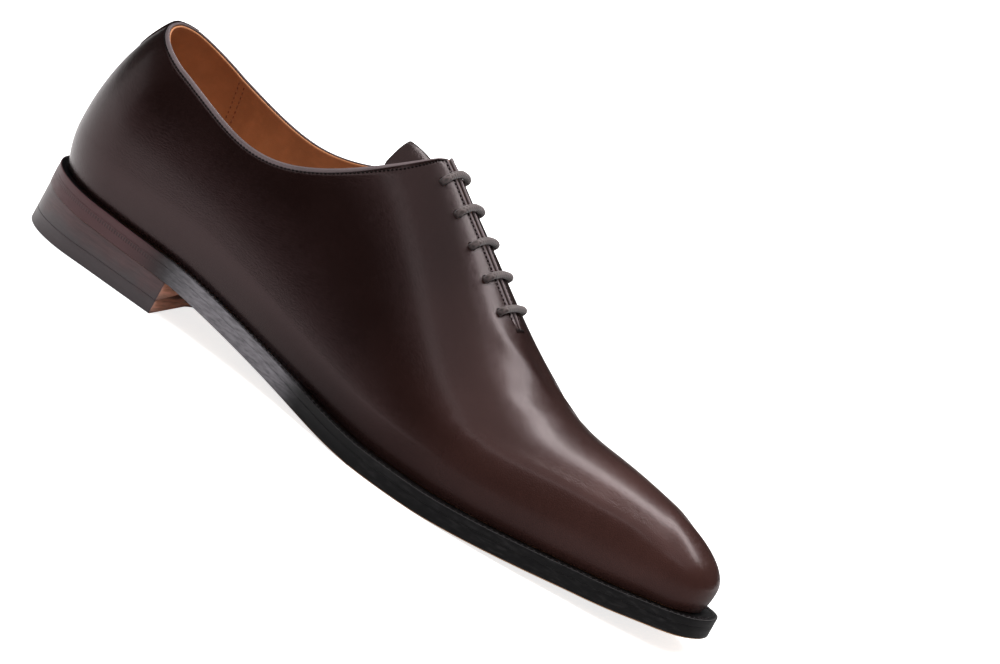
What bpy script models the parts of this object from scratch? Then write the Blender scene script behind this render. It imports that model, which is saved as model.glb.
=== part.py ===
# Whole-cut oxford shoe for the right foot, standing on its heel and forefoot.
# Metres, +Z up, toe toward +X, inner side of the foot toward +Y, z = 0 under the heel and the ball.
# The tables measure x from the back of the heel; the finished pieces have the heel's centre at x = 0.
import math
from bisect import bisect_right

import bmesh
import bpy
import numpy as np
from mathutils import Vector

# The last's sections fan out from a centre in the heel and one in the toe, with straight ones between
HEEL_CENTRE = 0.034
TOE_CENTRE = 0.270
HEEL_ARC = 0.033
TOE_ARC = 0.030
OUTER = -1
INNER = 1

# Thicknesses and fits
FIT = 0.0003
WALL = 0.0021
OUTSOLE = 0.0050
WELT = 0.0027
INSOLE = 0.0042
TOP_PIECE = 0.0056
TONGUE_THICK = 0.0016
TAB_THICK = 0.0011

# Outline of the sole: reach from the centre line to the edge, a row for each section
PLAN_COLUMNS = ("x", "turn", "outer", "inner")
PLAN = (
    (0.034, -90, 0.0340, 0.0340),
    (0.034, -60, 0.0338, 0.0338),
    (0.034, -30, 0.0331, 0.0331),
    (0.034, 0, 0.0324, 0.0324),
    (0.055, 0, 0.0330, 0.0313),
    (0.078, 0, 0.0336, 0.0292),
    (0.100, 0, 0.0340, 0.0274),
    (0.120, 0, 0.0356, 0.0280),
    (0.140, 0, 0.0392, 0.0318),
    (0.160, 0, 0.0444, 0.0380),
    (0.180, 0, 0.0488, 0.0442),
    (0.200, 0, 0.0500, 0.0488),
    (0.220, 0, 0.0476, 0.0498),
    (0.240, 0, 0.0422, 0.0462),
    (0.255, 0, 0.0366, 0.0408),
    (0.270, 0, 0.0308, 0.0345),
    (0.270, 30, 0.0290, 0.0312),
    (0.270, 50, 0.0312, 0.0322),
    (0.270, 68, 0.0362, 0.0362),
    (0.270, 80, 0.0374, 0.0373),
    (0.270, 90, 0.0376, 0.0376),
)

# Underside of the outsole from the side; it lies flat on the floor under the ball
TREAD_FROM = 0.174
TREAD_TO = 0.208
ARCH_COLUMNS = ("x", "z")
ARCH = (
    (0.000, 0.0167),
    (0.022, 0.0150),
    (0.050, 0.0137),
    (0.076, 0.0127),
    (0.090, 0.0110),
    (0.106, 0.0086),
    (0.135, 0.0042),
    (0.160, 0.0010),
    (0.178, 0.0000),
    (0.192, 0.0000),
    (0.206, 0.0000),
    (0.222, 0.0006),
    (0.250, 0.0025),
    (0.280, 0.0051),
    (0.308, 0.0086),
)

# The upper: how far its feather line lies inside the sole's edge, how far it swells past the feather,
# the height of its widest line over the feather, and how square its section is (2 is an ellipse)
UPPER_COLUMNS = ("x", "turn", "outer_margin", "inner_margin", "outer_swell", "inner_swell",
                 "widest", "outer_square", "inner_square")
UPPER = (
    (0.034, -90, 0.0032, 0.0032, 0.0036, 0.0036, 0.017, 2.05, 2.05),
    (0.034, 0, 0.0028, 0.0028, 0.0040, 0.0040, 0.017, 2.02, 2.02),
    (0.078, 0, 0.0028, 0.0016, 0.0046, 0.0050, 0.018, 1.95, 1.95),
    (0.110, 0, 0.0026, 0.0006, 0.0052, 0.0064, 0.017, 1.85, 1.80),
    (0.135, 0, 0.0034, 0.0012, 0.0042, 0.0062, 0.015, 1.80, 1.80),
    (0.165, 0, 0.0052, 0.0040, 0.0026, 0.0036, 0.013, 1.82, 1.85),
    (0.195, 0, 0.0062, 0.0060, 0.0020, 0.0020, 0.012, 1.95, 1.88),
    (0.225, 0, 0.0064, 0.0064, 0.0018, 0.0018, 0.011, 2.12, 1.92),
    (0.250, 0, 0.0064, 0.0064, 0.0017, 0.0017, 0.010, 2.28, 2.05),
    (0.270, 0, 0.0062, 0.0062, 0.0016, 0.0016, 0.009, 2.35, 2.15),
    (0.270, 50, 0.0060, 0.0060, 0.0014, 0.0014, 0.008, 2.30, 2.20),
    (0.270, 90, 0.0060, 0.0060, 0.0012, 0.0012, 0.008, 2.25, 2.25),
)

# Crest of the last from the side, and how far it leans inward
CREST_COLUMNS = ("x", "z", "lean")
CREST = (
    (0.000, 0.1010, 0.0000),
    (0.034, 0.1010, 0.0005),
    (0.070, 0.1040, 0.0020),
    (0.100, 0.1080, 0.0035),
    (0.117, 0.1077, 0.0040),
    (0.131, 0.1022, 0.0042),
    (0.145, 0.0932, 0.0042),
    (0.160, 0.0832, 0.0042),
    (0.180, 0.0694, 0.0040),
    (0.192, 0.0614, 0.0038),
    (0.205, 0.0538, 0.0034),
    (0.220, 0.0470, 0.0028),
    (0.240, 0.0445, 0.0020),
    (0.270, 0.0420, 0.0010),
    (0.290, 0.0393, 0.0005),
    (0.308, 0.0366, 0.0000),
)

# Top edge of the collar, a row for each section from the back seam to the throat
COLLAR_END = 0.1355
COLLAR_COLUMNS = ("x", "turn", "outer", "inner")
COLLAR = (
    (0.034, -90, 0.0893, 0.0893),
    (0.034, -60, 0.0882, 0.0878),
    (0.034, -30, 0.0852, 0.0840),
    (0.034, 0, 0.0812, 0.0794),
    (0.055, 0, 0.0757, 0.0744),
    (0.075, 0, 0.0722, 0.0730),
    (0.090, 0, 0.0741, 0.0762),
    (0.100, 0, 0.0782, 0.0802),
    (0.110, 0, 0.0842, 0.0856),
    (0.120, 0, 0.0918, 0.0922),
    (0.128, 0, 0.0990, 0.0992),
    (0.136, 0, 0.1070, 0.1070),
)

# Throat slit: half its gap, by distance along the shoe
THROAT_TOP = 0.1310
THROAT_END = 0.1890
SLIT_COLUMNS = ("x", "half_gap")
SLIT = (
    (0.120, 0.0012),
    (0.131, 0.0012),
    (0.150, 0.0011),
    (0.175, 0.0010),
    (0.185, 0.0006),
    (0.189, 0.0000),
)

# Eyelets and lace
EYELET_ROWS = 5
EYELET_FIRST = 0.1376
EYELET_PITCH = 0.0110
EYELET_REACH = 0.0088
EYELET_RADIUS = 0.0019
LACE_RADIUS = 0.00125
LACE_LANE = 0.0036
LACE_SIDES = 7
# The lace's hidden ends and where its inner runs leave an eyelet and reach their lane, in rows
LACE_END = 0.5
LACE_LEAVES = 0.14
LACE_IN_LANE = 0.42
# Half a bar: how far in from the eyelet, and its height as a share of the inner run's or of the bar's
BAR_COLUMNS = ("inward", "inner_share", "outer_share")
BAR = (
    (0.0000, 0.78, 0.00),
    (0.0000, 0.29, 0.00),
    (0.0000, 0.00, 0.75),
    (0.0017, 0.00, 1.00),
    (0.0044, 0.00, 1.00),
    (EYELET_REACH, 0.00, 1.00),
)

# Heel block
BREAST = 0.0730
BREAST_HOLLOW = 0.0055
HEEL_INSET = 0.0003
HEEL_TAPER = 0.0002

# Tongue: half its width at each side and how far it sinks from the throat, a row for each section
TONGUE_DEPTH = WALL + 2.0 * LACE_RADIUS + 3.0 * FIT
TONGUE_COLUMNS = ("x", "outer", "inner", "sink")
TONGUE = (
    (0.1150, 0.0100, 0.0100, 0.0034),
    (0.1158, 0.0150, 0.0150, 0.0033),
    (0.1190, 0.0190, 0.0190, 0.0028),
    (0.1280, 0.0205, 0.0205, 0.0013),
    (0.1400, 0.0202, 0.0202, 0.0000),
    (0.1560, 0.0188, 0.0188, 0.0000),
    (0.1700, 0.0175, 0.0175, 0.0000),
    (0.1850, 0.0162, 0.0162, 0.0000),
    (0.1920, 0.0150, 0.0150, -0.0018),
    (0.1970, 0.0132, 0.0132, -0.0030),
    (0.2000, 0.0100, 0.0100, -0.0031),
)

# Back tab: its reach down the quarter, by distance round the heel from the back seam
TAB_COLUMNS = ("round", "drop")
TAB = (
    (-0.0045, 0.0145),
    (0.0000, 0.0148),
    (0.0060, 0.0144),
    (0.0110, 0.0132),
    (0.0150, 0.0110),
    (0.0178, 0.0080),
    (0.0192, 0.0048),
)
TAB_BELOW_RIM = 0.0006

# Counts of facets
ROWS_ABOVE = 8
HEEL_STEPS = 8
TOE_STEPS = 8
SPINE_STEP = 0.0065
EYELET_SIDES = 12

HEEL_TURN = HEEL_ARC * math.pi / 2
TOE_TURN = TOE_ARC * math.pi / 2
SPINE = TOE_CENTRE - HEEL_CENTRE
HALF_LOOP = HEEL_TURN + SPINE + TOE_TURN


class Curve:
    """Cubic through the given places; open ends are natural, a closed one comes round smoothly."""

    def __init__(self, places, values, closed=False):
        self.places = [float(p) for p in places]
        self.values = [float(v) for v in values]
        count = len(self.places)
        self.closed = closed
        step = [self.places[i + 1] - self.places[i] for i in range(count - 1)]
        rise = [(self.values[i + 1] - self.values[i]) / step[i] for i in range(count - 1)]
        matrix = np.zeros((count, count))
        right = np.zeros(count)
        for i in range(1, count - 1):
            matrix[i, i - 1] = step[i - 1]
            matrix[i, i] = 2 * (step[i - 1] + step[i])
            matrix[i, i + 1] = step[i]
            right[i] = 6 * (rise[i] - rise[i - 1])
        if closed:
            matrix[0, 0] = 2 * (step[-1] + step[0])
            matrix[0, 1] = step[0]
            matrix[0, count - 2] = step[-1]
            right[0] = 6 * (rise[0] - rise[-1])
            matrix[-1, 0] = 1
            matrix[-1, -1] = -1
        else:
            matrix[0, 0] = 1
            matrix[-1, -1] = 1
        self.bend = [float(b) for b in np.linalg.solve(matrix, right)]

    def __call__(self, place):
        first, last = self.places[0], self.places[-1]
        place = first + (place - first) % (last - first) if self.closed else min(max(place, first), last)
        i = min(max(bisect_right(self.places, place) - 1, 0), len(self.places) - 2)
        step = self.places[i + 1] - self.places[i]
        t = place - self.places[i]
        low, high = self.bend[i], self.bend[i + 1]
        slope = (self.values[i + 1] - self.values[i]) / step - step * (2 * low + high) / 6
        return self.values[i] + t * slope + t * t * low / 2 + t ** 3 * (high - low) / (6 * step)


def column(columns, rows, name):
    return [row[columns.index(name)] for row in rows]


def station(x, turn):
    """Distance along one side of the loop, from the back seam round to the toe."""
    if turn < 0:
        return HEEL_ARC * math.radians(90 + turn)
    return HEEL_TURN + (x - HEEL_CENTRE) + TOE_ARC * math.radians(turn)


def stations(columns, rows):
    return [station(x, turn) for x, turn in zip(column(columns, rows, "x"), column(columns, rows, "turn"))]


def round_loop(columns, rows, outer, inner):
    """One closed curve down the outer side and back up the inner side."""
    along = stations(columns, rows)
    places = along + [2 * HALF_LOOP - s for s in reversed(along[:-1])]
    values = column(columns, rows, outer) + list(reversed(column(columns, rows, inner)[:-1]))
    curve = Curve(places, values, closed=True)
    return lambda side, s: curve(s if side == OUTER else 2 * HALF_LOOP - s)


def by_x(columns, rows, name):
    return Curve(column(columns, rows, "x"), column(columns, rows, name))


sole_reach = round_loop(PLAN_COLUMNS, PLAN, "outer", "inner")
margin = round_loop(UPPER_COLUMNS, UPPER, "outer_margin", "inner_margin")
swell = round_loop(UPPER_COLUMNS, UPPER, "outer_swell", "inner_swell")
squareness = round_loop(UPPER_COLUMNS, UPPER, "outer_square", "inner_square")
widest = Curve(stations(UPPER_COLUMNS, UPPER), column(UPPER_COLUMNS, UPPER, "widest"))
arch_line = by_x(ARCH_COLUMNS, ARCH, "z")
crest = by_x(CREST_COLUMNS, CREST, "z")
lean = by_x(CREST_COLUMNS, CREST, "lean")
half_gap = Curve(column(SLIT_COLUMNS, SLIT, "x"), column(SLIT_COLUMNS, SLIT, "half_gap"))
COLLAR_AT = stations(COLLAR_COLUMNS, COLLAR)
collar = {OUTER: Curve(COLLAR_AT, column(COLLAR_COLUMNS, COLLAR, "outer")),
          INNER: Curve(COLLAR_AT, column(COLLAR_COLUMNS, COLLAR, "inner"))}


def arch(x):
    return 0.0 if TREAD_FROM <= x <= TREAD_TO else max(arch_line(x), 0.0)


def fold(side, s):
    """The same place named from the other side, once a station runs past the back seam or the toe."""
    if s < 0:
        return -side, -s
    if s > HALF_LOOP:
        return -side, 2 * HALF_LOOP - s
    return side, s


def section_line(side, s):
    """Centre of the section at a station and the level direction that it runs out in."""
    if s < HEEL_TURN:
        angle = s / HEEL_ARC
        return HEEL_CENTRE, Vector((-math.cos(angle), side * math.sin(angle), 0.0))
    if s > HEEL_TURN + SPINE:
        angle = (s - HEEL_TURN - SPINE) / TOE_ARC
        return TOE_CENTRE, Vector((math.sin(angle), side * math.cos(angle), 0.0))
    return HEEL_CENTRE + s - HEEL_TURN, Vector((0.0, side, 0.0))


def edge_x(side, s, reach):
    centre, out = section_line(side, s)
    return centre + out.x * reach


def seat(x):
    """Height of the feather line, on top of the welt."""
    return arch(x) + OUTSOLE + WELT + 2 * FIT


def girth(side, s):
    """Feather reach, widest reach, height of the widest line and squareness of a section."""
    reach = sole_reach(side, s) - margin(side, s)
    wide = reach + swell(side, s)
    low = seat(edge_x(side, s, reach))
    return reach, wide, low, low + widest(s), squareness(side, s)


def outside(side, s, climb):
    """A point of the upper's outside: climb is -1 at the feather, 0 at the widest line, 1 at the crest."""
    side, s = fold(side, s)
    centre, out = section_line(side, s)
    reach, wide, low, waist, square = girth(side, s)
    if climb < 0:
        away = reach + (wide - reach) * (1 - climb * climb)
        return Vector((centre, 0, 0)) + out * away + Vector((0, 0, waist + (waist - low) * climb))
    angle = climb * math.pi / 2
    cosine, sine = math.cos(angle), math.sin(angle)
    away = math.copysign(wide * abs(cosine) ** (2 / square), cosine)
    point = Vector((centre, 0, 0)) + out * away
    point.y += lean(point.x) * sine
    point.z = waist + (crest(point.x) - waist) * abs(sine) ** (2 / square)
    return point


def outward(side, s, climb):
    """Unit normal of the upper's outside."""
    along, up = 0.0004, 0.008
    run = outside(side, s + along, climb) - outside(side, s - along, climb)
    rise = outside(side, s, climb + up) - outside(side, s, climb - up)
    if run.length < along * 0.02:
        x = outside(side, s, climb).x
        slope = (crest(x + along) - crest(x - along)) / (2 * along)
        return Vector((-slope, 0, 1)).normalized()
    return run.cross(rise).normalized() * -side


def skin(side, s, climb, depth):
    """A point at a depth under the upper's outside, kept level below the widest line."""
    point = outside(side, s, climb)
    normal = outward(side, s, climb)
    if climb >= 0:
        return point - normal * depth
    level = Vector((normal.x, normal.y, 0.0))
    return point - level * (depth / level.length_squared)


def sole_edge(side, s, inset):
    centre, out = section_line(side, s)
    return Vector((centre, 0, 0)) + out * (sole_reach(side, s) - inset)


def lining_edge(side, s, inset):
    """The inside of the upper's bottom edge."""
    return skin(side, s, -1.0, WALL + inset)


def climb_to_height(side, s, height):
    low, high = 0.0, 1.0
    for _ in range(40):
        middle = (low + high) / 2
        if outside(side, s, middle).z < height:
            low = middle
        else:
            high = middle
    return low


def climb_to_reach(side, s, reach):
    wide, square = girth(side, s)[1], girth(side, s)[4]
    return math.acos(min(reach / wide, 1.0) ** (square / 2)) * 2 / math.pi


def top_climb(side, s):
    """Where the upper's section stops: at the collar, at the slit's edge, or at the crest."""
    x = HEEL_CENTRE + s - HEEL_TURN
    if x >= THROAT_END - 1e-6:
        return 1.0
    at_slit = climb_to_reach(side, s, half_gap(x))
    if x >= COLLAR_END:
        return at_slit
    return min(at_slit, climb_to_height(side, s, collar[side](s)))


def loop_stations(stop=None):
    """Stations down one side; with a stop, only as far as that x."""
    heel = [HEEL_TURN * i / HEEL_STEPS for i in range(HEEL_STEPS)]
    end = TOE_CENTRE if stop is None else stop
    count = max(1, round((end - HEEL_CENTRE) / SPINE_STEP))
    spine = [HEEL_CENTRE + (end - HEEL_CENTRE) * i / count for i in range(count + 1)]
    for x in () if stop else (THROAT_TOP, THROAT_END):
        nearest = min(spine[1:-1], key=lambda place: abs(place - x))
        spine[spine.index(nearest)] = x
    places = heel + [station(x, 0) for x in spine]
    if stop is None:
        places += [HEEL_TURN + SPINE + TOE_TURN * i / TOE_STEPS for i in range(1, TOE_STEPS + 1)]
    return places


def finish(name, mesh, colour, roughness, cutters=()):
    bmesh.ops.remove_doubles(mesh, verts=mesh.verts, dist=0.00001)
    bmesh.ops.dissolve_degenerate(mesh, edges=mesh.edges, dist=0.000005)
    bmesh.ops.recalc_face_normals(mesh, faces=mesh.faces)
    bmesh.ops.translate(mesh, verts=mesh.verts, vec=(-HEEL_CENTRE, 0, 0))
    data = bpy.data.meshes.new(name)
    mesh.to_mesh(data)
    mesh.free()
    for polygon in data.polygons:
        polygon.use_smooth = True
    part = bpy.data.objects.new(name, data)
    bpy.context.scene.collection.objects.link(part)
    material = bpy.data.materials.new(name + "_material")
    material.use_nodes = True
    shader = material.node_tree.nodes["Principled BSDF"]
    shader.inputs["Base Color"].default_value = (*colour, 1.0)
    shader.inputs["Roughness"].default_value = roughness
    material.diffuse_color = (*colour, 1.0)
    part.data.materials.append(material)
    for cutter in cutters:
        cut = part.modifiers.new("cut", "BOOLEAN")
        cut.operation = "DIFFERENCE"
        cut.solver = "EXACT"
        cut.object = cutter
    return part


def add_face(mesh, corners):
    kept = []
    for corner in corners:
        if all((corner.co - other.co).length > 0.00001 for other in kept):
            kept.append(corner)
    if len(kept) > 2:
        mesh.faces.new(kept)


def sweep(sections, ring=False, skipped=None):
    """Skins a row of sections; a ring's section closes on itself, any other ends on the centre line."""
    mesh = bmesh.new()
    rows = [[mesh.verts.new(point) for point in section] for section in sections]
    size = len(sections[0])
    for i in range(len(rows) - 1):
        for k in range(size if ring else size - 1):
            if skipped and skipped(i, k):
                continue
            following = (k + 1) % size
            add_face(mesh, (rows[i][k], rows[i + 1][k], rows[i + 1][following], rows[i][following]))
    return mesh, rows


def both_sides(section, places):
    """Sections from the toe up the inner side, round the heel, and down the outer side."""
    inner = [section(INNER, s) for s in reversed(places)]
    return inner + [section(OUTER, s) for s in places[1:]]


def plate_section(edge_at, low_at, high_at, edge, hollow=None):
    """Half a section of a flat piece, from the centre line out over its edge profile and back."""
    def section(side, s):
        centre = Vector((section_line(side, s)[0], 0, 0))
        shares = (0.0, 0.35, 0.7) if hollow else (0.0,)

        def inside(inset):
            spots = []
            for share in shares:
                spot = centre.lerp(edge_at(side, s, inset), share)
                spot.x -= hollow(s) * (1 - share * share) if hollow else 0.0
                spots.append(spot)
            return spots

        spots = inside(edge[0][0]) + [edge_at(side, s, inset) for inset, _ in edge] + inside(edge[-1][0])[::-1]
        rises = [0.0] * len(shares) + [rise for _, rise in edge] + [1.0] * len(shares)
        points = []
        for spot, rise in zip(spots, rises):
            low, high = low_at(spot.x), high_at(spot.x)
            points.append(Vector((spot.x, spot.y, low + (high - low) * rise)))
        return points
    return section


def close_front(mesh, row_a, row_b):
    """Closes the open front of a heel piece between its two last half sections."""
    for row in (row_a, row_b):
        size = len(row)
        for k in range(size // 2):
            add_face(mesh, (row[k], row[k + 1], row[size - 2 - k], row[size - 1 - k]))


def slab(top, bottom):
    """A sheet with thickness between two grids of points."""
    mesh = bmesh.new()
    sheets = [[[mesh.verts.new(point) for point in row] for row in grid] for grid in (top, bottom)]
    rows, across = len(top), len(top[0])
    for sheet in sheets:
        for i in range(rows - 1):
            for j in range(across - 1):
                add_face(mesh, (sheet[i][j], sheet[i + 1][j], sheet[i + 1][j + 1], sheet[i][j + 1]))
    upper, lower = sheets
    for i in range(rows - 1):
        for j in (0, across - 1):
            add_face(mesh, (upper[i][j], upper[i + 1][j], lower[i + 1][j], lower[i][j]))
    for j in range(across - 1):
        for i in (0, rows - 1):
            add_face(mesh, (upper[i][j], upper[i][j + 1], lower[i][j + 1], lower[i][j]))
    return mesh


def tube(path, radius, sides):
    """A round cord along a path, with flat ends."""
    mesh = bmesh.new()
    across = None
    rings = []
    for i, point in enumerate(path):
        before, after = path[max(i - 1, 0)], path[min(i + 1, len(path) - 1)]
        forward = (after - before).normalized()
        if across is None:
            across = forward.orthogonal().normalized()
        across = (across - forward * across.dot(forward)).normalized()
        other = forward.cross(across)
        rings.append([mesh.verts.new(point + (across * math.cos(a) + other * math.sin(a)) * radius)
                      for a in (2 * math.pi * k / sides for k in range(sides))])
    for first, second in zip(rings, rings[1:]):
        for k in range(sides):
            n = (k + 1) % sides
            mesh.faces.new((first[k], first[n], second[n], second[k]))
    mesh.faces.new(rings[0][::-1])
    mesh.faces.new(rings[-1])
    return mesh


def rounded_path(corners, passes=2):
    """Cuts the corners of a path, so that a cord along it bends gently."""
    points = list(corners)
    for _ in range(passes):
        eased = [points[0]]
        for a, b in zip(points, points[1:]):
            eased += [a.lerp(b, 0.25), a.lerp(b, 0.75)]
        points = eased + [points[-1]]
    kept = [points[0]]
    for point in points[1:]:
        if (point - kept[-1]).length > LACE_RADIUS * 0.9:
            kept.append(point)
    return kept


def clear_scene():
    for thing in list(bpy.data.objects):
        bpy.data.objects.remove(thing, do_unlink=True)


def build_outsole():
    edge = ((0.0007, 0.0), (0.0, 0.22), (0.0, 0.85), (0.0004, 1.0))
    section = plate_section(sole_edge, arch, lambda x: arch(x) + OUTSOLE, edge)
    mesh, _ = sweep(both_sides(section, loop_stations()))
    return finish("outsole", mesh, (0.016, 0.014, 0.014), 0.45)


def build_welt():
    def section(side, s):
        points = []
        for edge_at, inset, rise in ((lining_edge, 0.0, 0.0), (sole_edge, 0.0004, 0.0), (sole_edge, 0.0004, 0.72),
                                     (sole_edge, 0.0009, 1.0), (lining_edge, 0.0, 1.0)):
            spot = edge_at(side, s, inset)
            points.append(Vector((spot.x, spot.y, arch(spot.x) + OUTSOLE + FIT + WELT * rise)))
        return points
    mesh, _ = sweep(both_sides(section, loop_stations()), ring=True)
    return finish("welt", mesh, (0.018, 0.015, 0.015), 0.5)


def build_insole():
    edge = ((FIT, 0.0), (FIT, 0.85), (2 * FIT, 1.0))
    base = OUTSOLE + FIT
    section = plate_section(lining_edge, lambda x: arch(x) + base, lambda x: arch(x) + base + INSOLE, edge)
    mesh, _ = sweep(both_sides(section, loop_stations()))
    return finish("insole", mesh, (0.42, 0.22, 0.11), 0.6)


def heel_piece(name, low_at, high_at, low_inset, high_inset, colour, roughness):
    span = HEEL_TURN + BREAST - HEEL_CENTRE
    edge = ((low_inset, 0.0), ((low_inset + high_inset) / 2, 0.5), (high_inset, 1.0))
    section = plate_section(sole_edge, low_at, high_at, edge,
                            hollow=lambda s: BREAST_HOLLOW * max(0.0, (s - HEEL_TURN) / (span - HEEL_TURN)))
    places = loop_stations(stop=BREAST)
    mesh, rows = sweep(both_sides(section, places))
    close_front(mesh, rows[0], rows[-1])
    return finish(name, mesh, colour, roughness)


def build_heel():
    split = HEEL_INSET + HEEL_TAPER * 0.6
    stack = heel_piece("heel_stack", lambda x: TOP_PIECE + FIT, lambda x: arch(x) - FIT,
                       split, HEEL_INSET, (0.060, 0.030, 0.030), 0.4)
    lift = heel_piece("top_piece", lambda x: 0.0, lambda x: TOP_PIECE,
                      HEEL_INSET + HEEL_TAPER, split, (0.020, 0.017, 0.017), 0.5)
    return stack, lift


def eyelet_station(row):
    return station(EYELET_FIRST + EYELET_PITCH * row, 0)


def build_upper():
    places = loop_stations()

    def section(side, s):
        top = top_climb(side, s)
        climbs = [-1.0, -0.5, 0.0] + [top * k / ROWS_ABOVE for k in range(1, ROWS_ABOVE + 1)]
        face = [outside(side, s, climb) for climb in climbs]
        back = [skin(side, s, climb, WALL) for climb in reversed(climbs)]
        return face + back

    sections = both_sides(section, places)
    order = list(reversed(places)) + places[1:]
    closed_from = station(THROAT_END, 0) - 1e-6
    rim = ROWS_ABOVE + 2

    def on_crest(i, k):
        return k == rim and min(order[i], order[i + 1]) >= closed_from

    mesh, _ = sweep(sections, ring=True, skipped=on_crest)
    cutters = []
    for side in (OUTER, INNER):
        for row in range(EYELET_ROWS):
            s = eyelet_station(row)
            climb = climb_to_reach(side, s, EYELET_REACH)
            normal = outward(side, s, climb)
            middle = outside(side, s, climb) - normal * (WALL / 2)
            punch = bmesh.new()
            bmesh.ops.create_cone(punch, cap_ends=True, segments=EYELET_SIDES, radius1=EYELET_RADIUS,
                                  radius2=EYELET_RADIUS, depth=WALL * 3)
            turn = normal.to_track_quat("Z", "Y").to_matrix().to_4x4()
            turn.translation = middle - Vector((HEEL_CENTRE, 0, 0))
            bmesh.ops.transform(punch, matrix=turn, verts=punch.verts)
            data = bpy.data.meshes.new("eyelet_punch")
            punch.to_mesh(data)
            punch.free()
            cutter = bpy.data.objects.new("eyelet_punch", data)
            bpy.context.scene.collection.objects.link(cutter)
            cutters.append(cutter)
    upper = finish("upper", mesh, (0.055, 0.026, 0.022), 0.32, cutters)
    bpy.context.view_layer.update()
    cut = bpy.data.meshes.new_from_object(upper.evaluated_get(bpy.context.evaluated_depsgraph_get()))
    upper.modifiers.clear()
    upper.data = cut
    for cutter in cutters:
        bpy.data.objects.remove(cutter, do_unlink=True)
    return upper


def build_tongue():
    shares = (1.0, 0.8, 0.6, 0.4, 0.2, 0.0)

    def across(side, s, width, depth):
        return [skin(side, s, climb_to_reach(side, s, width * share), depth) for share in shares]

    def grid(depth):
        rows = []
        for x, outer, inner, sink in TONGUE:
            s = station(x, 0)
            rows.append(across(OUTER, s, outer, depth + sink) + across(INNER, s, inner, depth + sink)[-2::-1])
        return rows

    mesh = slab(grid(TONGUE_DEPTH), grid(TONGUE_DEPTH + TONGUE_THICK))
    return finish("tongue", mesh, (0.060, 0.040, 0.042), 0.4)


def build_back_tab():
    drop = Curve(column(TAB_COLUMNS, TAB, "round"), column(TAB_COLUMNS, TAB, "drop"))
    first, last = TAB[0][0], TAB[-1][0]
    columns, shares = 12, 5

    def grid(depth):
        rows = []
        for i in range(columns + 1):
            s = first + (last - first) * math.sin(math.pi / 2 * i / columns)
            side, place = fold(INNER, s)
            rim = collar[side](place) - TAB_BELOW_RIM
            rows.append([skin(side, place, climb_to_height(side, place, rim - drop(s) * j / shares), depth)
                         for j in range(shares + 1)])
        return rows

    mesh = slab(grid(-FIT - TAB_THICK), grid(-FIT))
    return finish("back_tab", mesh, (0.055, 0.026, 0.022), 0.32)


def lace_point(side, row, reach, height):
    s = eyelet_station(row)
    if reach < 0:
        side, reach = -side, -reach
    climb = climb_to_reach(side, s, reach)
    return outside(side, s, climb) + outward(side, s, climb) * height


def build_lace():
    """One cord: straight bars on top, and runs from row to row inside; the rows count down from the top."""
    over = LACE_RADIUS + FIT
    under = -(WALL + LACE_RADIUS + FIT)
    outer_lane = EYELET_REACH + LACE_LANE
    inner_lane = EYELET_REACH - LACE_LANE

    def bar(side, row):
        half = [(EYELET_REACH - inward, under * below + over * above) for inward, below, above in BAR]
        there = [lace_point(side, row, reach, height) for reach, height in half]
        back = [lace_point(-side, row, reach, height) for reach, height in reversed(half[:-1])]
        return there + back

    def run(side, first, last, lane):
        sense = 1 if last > first else -1
        gap = abs(last - first)
        between = [0.5] if gap == 1 else [LACE_IN_LANE, 1.0, gap - LACE_IN_LANE]
        steps = [LACE_LEAVES] + between + [gap - LACE_LEAVES]
        reaches = [EYELET_REACH] + [lane] * len(between) + [EYELET_REACH]
        return [lace_point(side, first + sense * step, reach, under) for step, reach in zip(steps, reaches)]

    path = [lace_point(OUTER, LACE_END, EYELET_REACH, under),
            lace_point(OUTER, 1 - LACE_LEAVES, EYELET_REACH, under)]
    path += bar(OUTER, 1)
    path += run(INNER, 1, 3, outer_lane)
    path += bar(INNER, 3)
    path += run(OUTER, 3, 4, EYELET_REACH)
    path += bar(OUTER, 4)
    path += run(INNER, 4, 2, inner_lane)
    path += bar(INNER, 2)
    path += run(OUTER, 2, 0, outer_lane)
    path += bar(OUTER, 0)
    path += [lace_point(INNER, LACE_LEAVES, EYELET_REACH, under),
             lace_point(INNER, LACE_END, EYELET_REACH, under)]
    mesh = tube(rounded_path(path), LACE_RADIUS, LACE_SIDES)
    return finish("lace", mesh, (0.090, 0.070, 0.068), 0.55)


def build():
    clear_scene()
    build_outsole()
    build_welt()
    build_insole()
    build_heel()
    build_upper()
    build_tongue()
    build_back_tab()
    build_lace()


build()
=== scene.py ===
import math

import bmesh
import bpy
import numpy as np
from bpy.props import FloatProperty, FloatVectorProperty, IntProperty, PointerProperty
from mathutils import Matrix, Vector


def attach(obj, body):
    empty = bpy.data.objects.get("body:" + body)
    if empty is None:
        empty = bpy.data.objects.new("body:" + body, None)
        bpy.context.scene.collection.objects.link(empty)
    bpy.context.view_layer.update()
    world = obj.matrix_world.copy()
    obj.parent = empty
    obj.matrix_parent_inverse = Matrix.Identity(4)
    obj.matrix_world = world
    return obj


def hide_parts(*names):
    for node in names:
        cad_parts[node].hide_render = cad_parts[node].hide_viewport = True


bl_info = {
    "name": "Whole-cut oxford shoe",
    "version": (1, 0, 0),
    "blender": (4, 5, 0),
    "location": "View3D > Sidebar > Shoe",
    "description": "Dresses the solids of a whole-cut oxford shoe with leather, stitches and lace",
    "category": "Object",
}

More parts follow.
